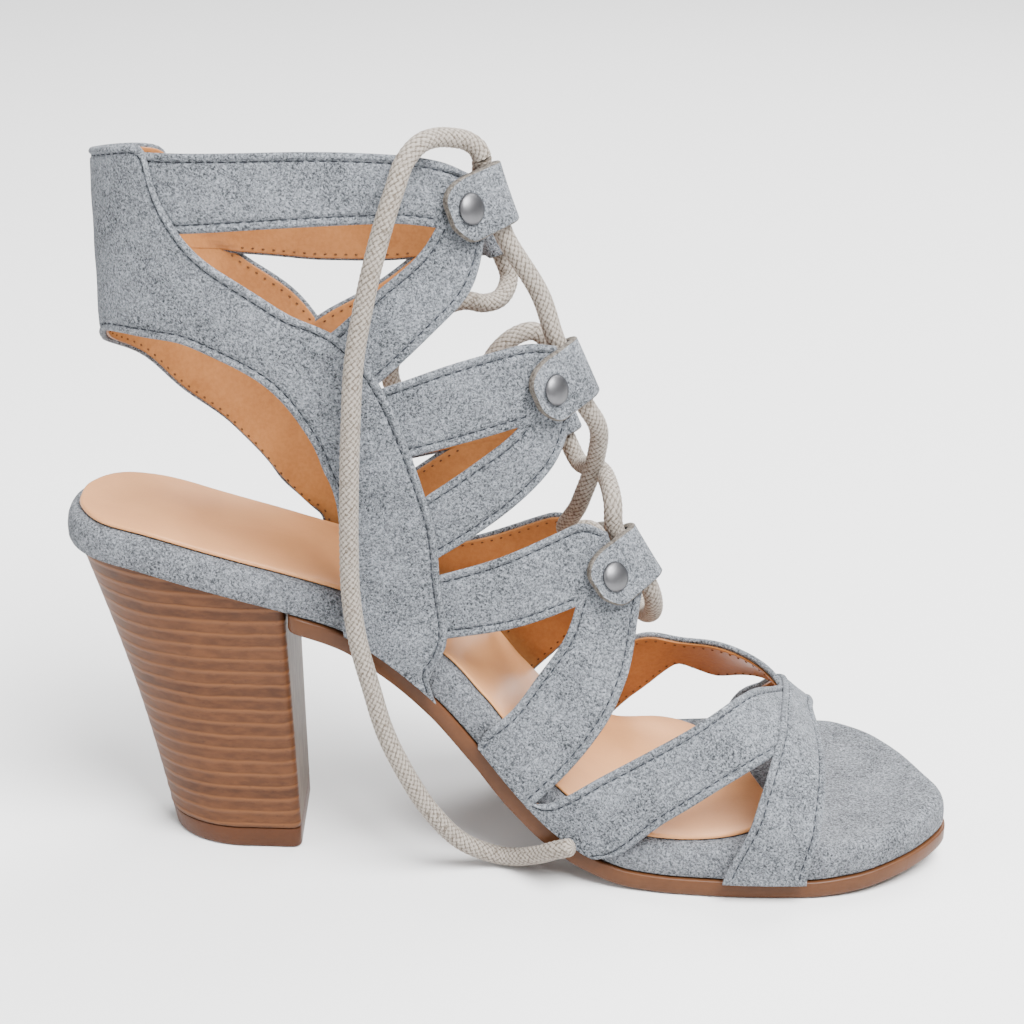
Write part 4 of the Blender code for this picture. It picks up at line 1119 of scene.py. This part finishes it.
def stitch_row(line, normals, hidden, length):
    """Stitches along a line of points, left out where it is hidden."""
    run = run_of(line)
    made = []
    count = max(int((run[-1] - 2 * STITCH_MARGIN) / STITCH_PITCH), 0)
    for at in STITCH_MARGIN + STITCH_PITCH * (np.arange(count) + 0.5):
        if np.interp(at, run, hidden) > STITCH_HIDDEN:
            continue
        ends = along_run(at + STITCH_SPAN, run, line)
        up = unit(along_run(at, run, normals))
        along = unit(ends[1] - ends[0])
        sizes = np.array([length / 2, STITCH_RADIUS, STITCH_RADIUS * STITCH_FLAT])
        axes = np.stack([along, np.cross(up, along), up]) * sizes[:, None]
        made.append((ends.mean(0) + up * STITCH_LIFT + GRAIN_POINTS @ axes, GRAIN_FACES))
    return made


outside_stitches, inside_stitches = [], []
for name, sheet in sheets.items():
    over, _, joined, pared = layers[name]
    for column in (STITCH_COLUMN, -1 - STITCH_COLUMN):
        hidden = np.maximum(joined[:, column], pared[:, column])
        outside_stitches += stitch_row(over[:, column], sheet.normal[:, column], hidden, STITCH_LENGTH)
        inner_face = sheet.points[:, column] - sheet.normal[:, column] * DOT_LIFT
        inside_stitches += stitch_row(inner_face, -sheet.normal[:, column], hidden, DOT_LENGTH)
piece("upper_stitches", *gathered(outside_stitches), [DARK_THREAD], "grey_suede")
piece("lining_stitches", *gathered(inside_stitches), [TAN_THREAD], "tan_lining")

# %% [markdown]
# A lace tab is a strip of thick suede folded round the lace and riveted to its strap. Its shape is laid
# out on the last: along from the stud to the fold, and down along the fold. The raw side of the
# strip shows on its rim, so those faces take the cut-edge finish.

# %% lace tabs
TAB_STUDS = [
    ("top", (100.5, 176.0), TOP_DROP, 0.36),
    ("middle", (122.2, 131.0), MIDDLE_DROP, 0.5),
    ("lower", (139.5, 81.0), LOWER_DROP, 0.65),
]
TAB_FOLD, TAB_THICK, TAB_LEAF, TAB_TILT = 8.2, 2.0, 3.5, 0.32
TAB_BACK_EDGE, TAB_SHARP, TAB_NARROWEST = -5.6, 55.0, 0.2
CORD_RADIUS, CORD_LEVEL, CORD_CLEAR, TUNNEL = 2.4, -1.3, 0.7, 8.8
FOLD_TURN = np.radians(np.linspace(90, -100, 17))
PRESS_DEPTH, PRESS_AREA, PRESS_END = 0.35, 20.0, 6.0
# The leaf's outline, from the stud: along to the fold, its upper edge and its lower edge.
TAB_OUTLINE = [
    (-5.4, -3.0, 1.8), (-5.3, -4.0, 2.7), (-4.9, -5.1, 3.8), (-4.2, -6.1, 5.2), (-3.3, -6.9, 6.6),
    (-2.3, -7.4, 7.6), (-1.1, -7.8, 7.95), (0.3, -7.95, 8.0), (1.6, -8.0, 8.0),
]
# The inner leaf's middle line, as (along, lift), and the strip's rim, as (cut, level) from outside to inside.
TAB_INNER_LEAF = [(5.2, -2.8), (3.0, -1.9), (1.6, -1.4), (0.5, -1.4)]
TAB_RIM, OUTER_CUT, INNER_CUT = [(0.05, 0.72), (0.0, 0.3), (0.0, -0.6)], 0.35, 0.2
WALK_STEPS = 8


def walk(place, way, length):
    """Goes straight over the last from places: the places reached and the ways there."""
    for _ in range(WALK_STEPS):
        one, two = last_slopes(place)
        normal = last_normals(place)
        way = unit(way - normal * (way * normal).sum(-1, keepdims=True))
        place = place + solve(one, two, way * (length / WALK_STEPS)[..., None])
    return place, way


def tab_frame(stud, side, lean):
    place = pin_place(stud, side)
    to_fold = unit(np.cross((lean, 0.0, -1.0), last_normals(place)) * side)
    return place, to_fold, side


def tab_points(tab, along, down, lift):
    """Points that lie this far along and down from a tab's stud, over the last, and lifted off it."""
    along, down, lift = np.broadcast_arrays(*(np.asarray(a, float) for a in (along, down, lift)))
    place = np.broadcast_to(tab[0], (*along.shape, 2))
    way = np.broadcast_to(tab[1], (*along.shape, 3))
    place, way = walk(place, way, along)
    place, _ = walk(place, np.cross(last_normals(place), way) * tab[2], down)
    return last_points(place) + last_normals(place) * lift[..., None]


def tab_path():
    """Middle line of the folded strip, as rows of (along, lift, upper edge, lower edge)."""
    path = [(along, TAB_LEAF - TAB_TILT * along, upper, lower) for along, upper, lower in TAB_OUTLINE]
    from_along, from_lift, *edges = path[-1]
    bend = CORD_RADIUS + CORD_CLEAR + TAB_THICK / 2
    strip = []
    for t in (0.25, 0.5, 0.75):
        strip.append((lerp(from_along, TAB_FOLD, t), lerp(from_lift, CORD_LEVEL + bend, t * t * (3 - 2 * t))))
    strip += [(TAB_FOLD + bend * math.cos(a), CORD_LEVEL + bend * math.sin(a)) for a in FOLD_TURN]
    back = [len(strip) - len(FOLD_TURN), len(strip) - 1]
    strip += TAB_INNER_LEAF
    upper = np.interp(np.arange(len(strip)), back, (edges[0], TAB_BACK_EDGE))
    return np.array(path + [(*row, top, edges[1]) for row, top in zip(strip, upper)])


TAB_SHARES = np.linspace(-1.0, 1.0, 9)


def tab_mesh(tab):
    path = tab_path()
    way = unit(np.gradient(path[:, :2], axis=0))
    columns = [(share, OUTER_CUT, 1.0) for share in TAB_SHARES] + [(1.0, *row) for row in TAB_RIM]
    columns += [(share, INNER_CUT, -1.0) for share in TAB_SHARES[::-1]]
    columns += [(-1.0, *row) for row in TAB_RIM[::-1]]
    share, cut, level = np.array(columns).T
    along, lift, upper, lower = path.T[:, :, None]
    half = np.maximum((lower - upper) / 2 - cut, TAB_NARROWEST)
    down = (upper + lower) / 2 + share * half
    offset = level * TAB_THICK / 2
    press = PRESS_DEPTH * np.exp(-((along**2 + down**2) / PRESS_AREA)) * (along < PRESS_END) * (lift > 0)
    off_along, off_lift = -way[:, 1:] * offset, way[:, :1] * offset
    points = tab_points(tab, along + off_along, down, lift + off_lift - press)
    rows, count = points.shape[:2]
    faces = tube_faces(rows, count)
    rim = [int(n % (count // 2) >= len(TAB_SHARES) - 1) for n in range(len(faces) - 2)]
    return points.reshape(-1, 3), faces, rim + [1, 1]


TABS = {}
TAB_FINISHES = [UPPER_SUEDE, CUT_EDGE]
for place, stud, drop, lean in TAB_STUDS:
    for side, side_name in ((-1.0, "inner"), (1.0, "outer")):
        at = stud if side < 0 else (stud[0] + drop[0], stud[1] + drop[1])
        name = f"{place}_{side_name}"
        TABS[name] = tab_frame(at, side, lean)
        points, faces, rim = tab_mesh(TABS[name])
        piece("lace_tab_" + name, points, faces, TAB_FINISHES, "grey_suede", ["tab_" + name], rim, TAB_SHARP)

# %% [markdown]
# The rivets that hold the tabs are low nickel domes with a thin skirt. A turned profile gives both.

# %% studs
STUD_PROFILE = [
    (3.4, -0.2), (3.45, 0.1), (3.8, 0.12), (3.92, 0.3), (3.88, 0.55), (3.65, 0.9), (3.2, 1.25),
    (2.6, 1.55), (1.9, 1.78), (1.2, 1.93), (0.45, 2.0),
]
STUD_SIDES, STUD_SINK, STUD_TILT, STUD_SHARP = 40, 0.3, 0.42, 50.0


def stud_mesh(tab):
    normal = last_normals(tab[0])
    centre = last_points(tab[0]) + normal * (TAB_LEAF + TAB_THICK / 2 - STUD_SINK)
    normal = unit(normal + tab[1] * STUD_TILT)
    one = unit(np.cross(normal, (0.0, 0.0, 1.0)))
    two = np.cross(normal, one)
    turn = np.linspace(0, 2 * math.pi, STUD_SIDES, endpoint=False)[:, None]
    ring = one * np.cos(turn) + two * np.sin(turn)
    points = np.vstack([centre + ring * radius + normal * height for radius, height in STUD_PROFILE])
    return points, tube_faces(len(STUD_PROFILE), STUD_SIDES)


for name, tab in TABS.items():
    piece("tab_stud_" + name, *stud_mesh(tab), [NICKEL], "satin_nickel", ["stud_" + name], None, STUD_SHARP)

# %% [markdown]
# The lace is one round braided cord. It runs through the six folds and its loose end falls outside the
# quarter to the floor. Between the folds its points are those of the part's source. Two crossing sets of
# strands, one over the other by turns, are pressed into a tube, because a braid's outline is bumpy, too.

# %% the lace
LACE_ROUTE = {
    "top_outer to middle_outer": [
        (112.0, 19.5, 147.5), (110.0, 15.0, 143.5), (105.5, 11.0, 143.0), (101.5, 8.0, 144.5),
        (93.0, 5.0, 142.5), (85.0, 5.0, 134.0), (82.0, 6.0, 126.0), (86.0, 7.0, 117.0), (95.5, 7.0, 115.0),
        (104.5, 8.0, 122.0), (110.0, 9.0, 131.5), (113.5, 10.0, 134.5), (118.5, 11.0, 136.0),
        (123.0, 13.0, 132.0),
    ],
    "middle_outer to lower_inner": [
        (132.0, 15.0, 99.0), (135.5, 7.0, 101.0), (138.5, -6.0, 102.0), (139.8, -14.0, 98.5),
    ],
    "lower_inner to lower_outer": [(152.0, -2.0, 64.0), (150.0, 8.0, 60.0)],
    "lower_outer to middle_inner": [
        (129.5, 14.0, 80.0), (132.0, 3.0, 92.0), (135.5, -4.0, 108.0), (135.5, -9.0, 117.0),
    ],
    "middle_inner to top_inner": [(120.2, -14.0, 151.6)],
}
LACE_END_ROUTE = [
    (104.3, -16.6, 187.6), (103.2, -16.8, 189.8), (100.6, -17.7, 191.8), (97.4, -20.2, 193.0),
    (93.3, -24.0, 193.8), (89.7, -28.0, 193.2), (86.4, -31.5, 189.9), (84.1, -34.0, 183.5),
    (80.9, -35.5, 172.4), (77.5, -36.5, 157.1), (75.1, -36.5, 141.9), (74.4, -36.5, 126.4),
    (74.1, -35.5, 110.5), (74.1, -34.0, 93.8), (74.8, -32.5, 77.3), (76.5, -32.0, 66.5), (80.0, -32.0, 53.6),
    (83.6, -32.0, 41.6), (88.9, -31.5, 30.0), (96.0, -30.0, 17.8), (104.7, -27.0, 7.7), (115.0, -24.8, 3.0),
    (123.5, -31.0, 7.0), (128.5, -36.0, 11.3), (132.5, -38.4, 13.6),
]
LACE_SPACING, TOP_OUTER_SHORT, TOP_INNER_SHORT = 1.5, 3.0, 3.3


def through(route, spacing):
    """Points along a smooth curve through the points of a route."""
    points = np.array(route, float)
    gap = np.linalg.norm(np.diff(points, axis=0), axis=1)[:, None]
    way = np.diff(points, axis=0) / gap
    turned = (way[:-1] * gap[1:] + way[1:] * gap[:-1]) / (gap[:-1] + gap[1:])
    tangent = np.vstack([way[:1], turned, way[-1:]])
    line = [points[0]]
    for i, length in enumerate(gap[:, 0]):
        rise = points[i + 1] - points[i]
        count = max(round(length / spacing), 1)
        for t in np.arange(1, count + 1) / count:
            line.append(eased(points[i], rise, tangent[i] * length, tangent[i + 1] * length, t))
    return np.array(line)


def even_line(line, spacing):
    run = run_of(line)
    return along_run(np.linspace(0, run[-1], int(run[-1] / spacing) + 1), run, line)


def lace_route():
    down, up = (-TUNNEL, 0.0, TUNNEL), (TUNNEL, 0.0, -TUNNEL)
    first, last = (-TUNNEL + TOP_OUTER_SHORT, 0.0, TUNNEL), (TUNNEL, 0.0, -TUNNEL + TOP_INNER_SHORT)
    stops = [("top_outer", first), ("middle_outer", down), ("lower_inner", down)]
    stops += [("lower_outer", up), ("middle_inner", up), ("top_inner", last)]
    route = []
    for (name, ends), after in zip(stops, [*stops[1:], None]):
        route += list(tab_points(TABS[name], TAB_FOLD, np.array(ends), CORD_LEVEL))
        if after:
            route += LACE_ROUTE[f"{name} to {after[0]}"]
    return [*route, LACE_END_ROUTE[0]]


BRAID_SIDES, BRAID_STRANDS, BRAID_PITCH, BRAID_DEPTH, BRAID_STEP = 48, 10, 1.7, 0.24, 0.33
BRAID_MEAN, BRAID_ASIDE, CORD_ROUND, CORD_SHARP = 0.7, (0.3, 0.9, 0.2), (1.6, 0.02), 80.0


def braided(line, rounds):
    """A tube along a line, with the bumps of a round braid; rounds tells which ends are rounded off."""
    way = unit(np.gradient(line, axis=0))
    side = unit(np.cross(way[0], BRAID_ASIDE))
    turn = np.linspace(0, 2 * math.pi, BRAID_SIDES, endpoint=False)
    around = BRAID_STRANDS * turn / (2 * math.pi)
    run = run_of(line)
    rings, heights = [], []
    for place, ahead_way, length in zip(line, way, run):
        side = unit(side - ahead_way * (side @ ahead_way))
        other = np.cross(ahead_way, side)
        left, right = around + length / BRAID_PITCH, around - length / BRAID_PITCH
        over, under = np.abs(np.sin(math.pi * left)), np.abs(np.sin(math.pi * right))
        swapped = (np.floor(left) + np.floor(right)) % 2 > 0
        over, under = np.where(swapped, under, over), np.where(swapped, over, under)
        strand = over * (0.6 + 0.4 * under)
        end = min(length if rounds[0] else run[-1], run[-1] - length if rounds[1] else run[-1])
        radius = (CORD_RADIUS + BRAID_DEPTH * (strand - BRAID_MEAN)) * round_end(end, *CORD_ROUND)
        rings.append(place + np.outer(np.cos(turn) * radius, side) + np.outer(np.sin(turn) * radius, other))
        heights.append(strand)
    return np.vstack(rings), tube_faces(len(rings), BRAID_SIDES), np.concatenate(heights)


def cord_piece(name, line, node, rounds):
    """The cord along a line; each point keeps its height in the braid, which paints shade into the gaps
    between strands.
    """
    points, faces, heights = braided(line, rounds)
    made = piece(name, points, faces, [YARN], "lace_cord", [node], None, CORD_SHARP)
    made.data.attributes.new("strand", "FLOAT", "POINT").data.foreach_set("value", heights)
    return made


lace_line = even_line(through(lace_route(), LACE_SPACING), BRAID_STEP)
cord_piece("lace_through_tabs", lace_line, "lace", (True, False))
end_line = even_line(through(LACE_END_ROUTE, LACE_SPACING), BRAID_STEP)
lace_end = cord_piece("lace_loose_end", end_line, "lace_end", (False, True))
print("lace", round(run_of(lace_line)[-1]), "mm through the tabs,", round(run_of(end_line)[-1]), "mm loose")

# %% [markdown]
# A pale floor and large soft lights, as in a product studio: one lamp above and in front, one fill from
# the left and one behind, so that the nap, the stitches and the layers of the heel all show.

# %% floor and light
FLOOR_TONES, FLOOR_HALF, FLOOR_DROP = ((0.74,) * 3, (0.76,) * 3), 4.0, 0.0002
LAMP_AIM, WORLD_STRENGTH = Vector((0.0, 0.0, 0.08)), 0.6
LAMPS = [
    ("key", (0.45, -0.60, 1.35), 1.0, 105.0),
    ("fill", (-1.3, -0.6, 0.7), 1.0, 16.0),
    ("rim", (0.5, 0.9, 1.2), 0.9, 36.0),
]

pale = Finish("pale_floor", roughness=0.9)
pale.feed(base_color=pale.place.noise(0.4, 1.0).blend(*FLOOR_TONES))
floor_mesh = bpy.data.meshes.new("floor")
corners = [(x * FLOOR_HALF, y * FLOOR_HALF, 0.0) for x, y in ((-1, -1), (1, -1), (1, 1), (-1, 1))]
floor_mesh.from_pydata(corners, [], [(0, 1, 2, 3)])
floor_mesh.materials.append(pale.material)
floor = linked("floor", floor_mesh)
floor.location.z = -FLOOR_DROP

for name, place, size, power in LAMPS:
    lamp = bpy.data.lights.new(name, "AREA")
    lamp.size, lamp.energy = size, power
    made = linked(name, lamp)
    made.location = place
    made.rotation_mode = "QUATERNION"
    made.rotation_quaternion = (LAMP_AIM - Vector(place)).to_track_quat("-Z", "Y")
world = bpy.data.worlds.new("studio")
world.use_nodes = True
background = world.node_tree.nodes["Background"].inputs
background["Color"].default_value = (1.0, 1.0, 1.0, 1.0)
background["Strength"].default_value = WORLD_STRENGTH
bpy.context.scene.world = world
print("lamps", [name for name, *_ in LAMPS])
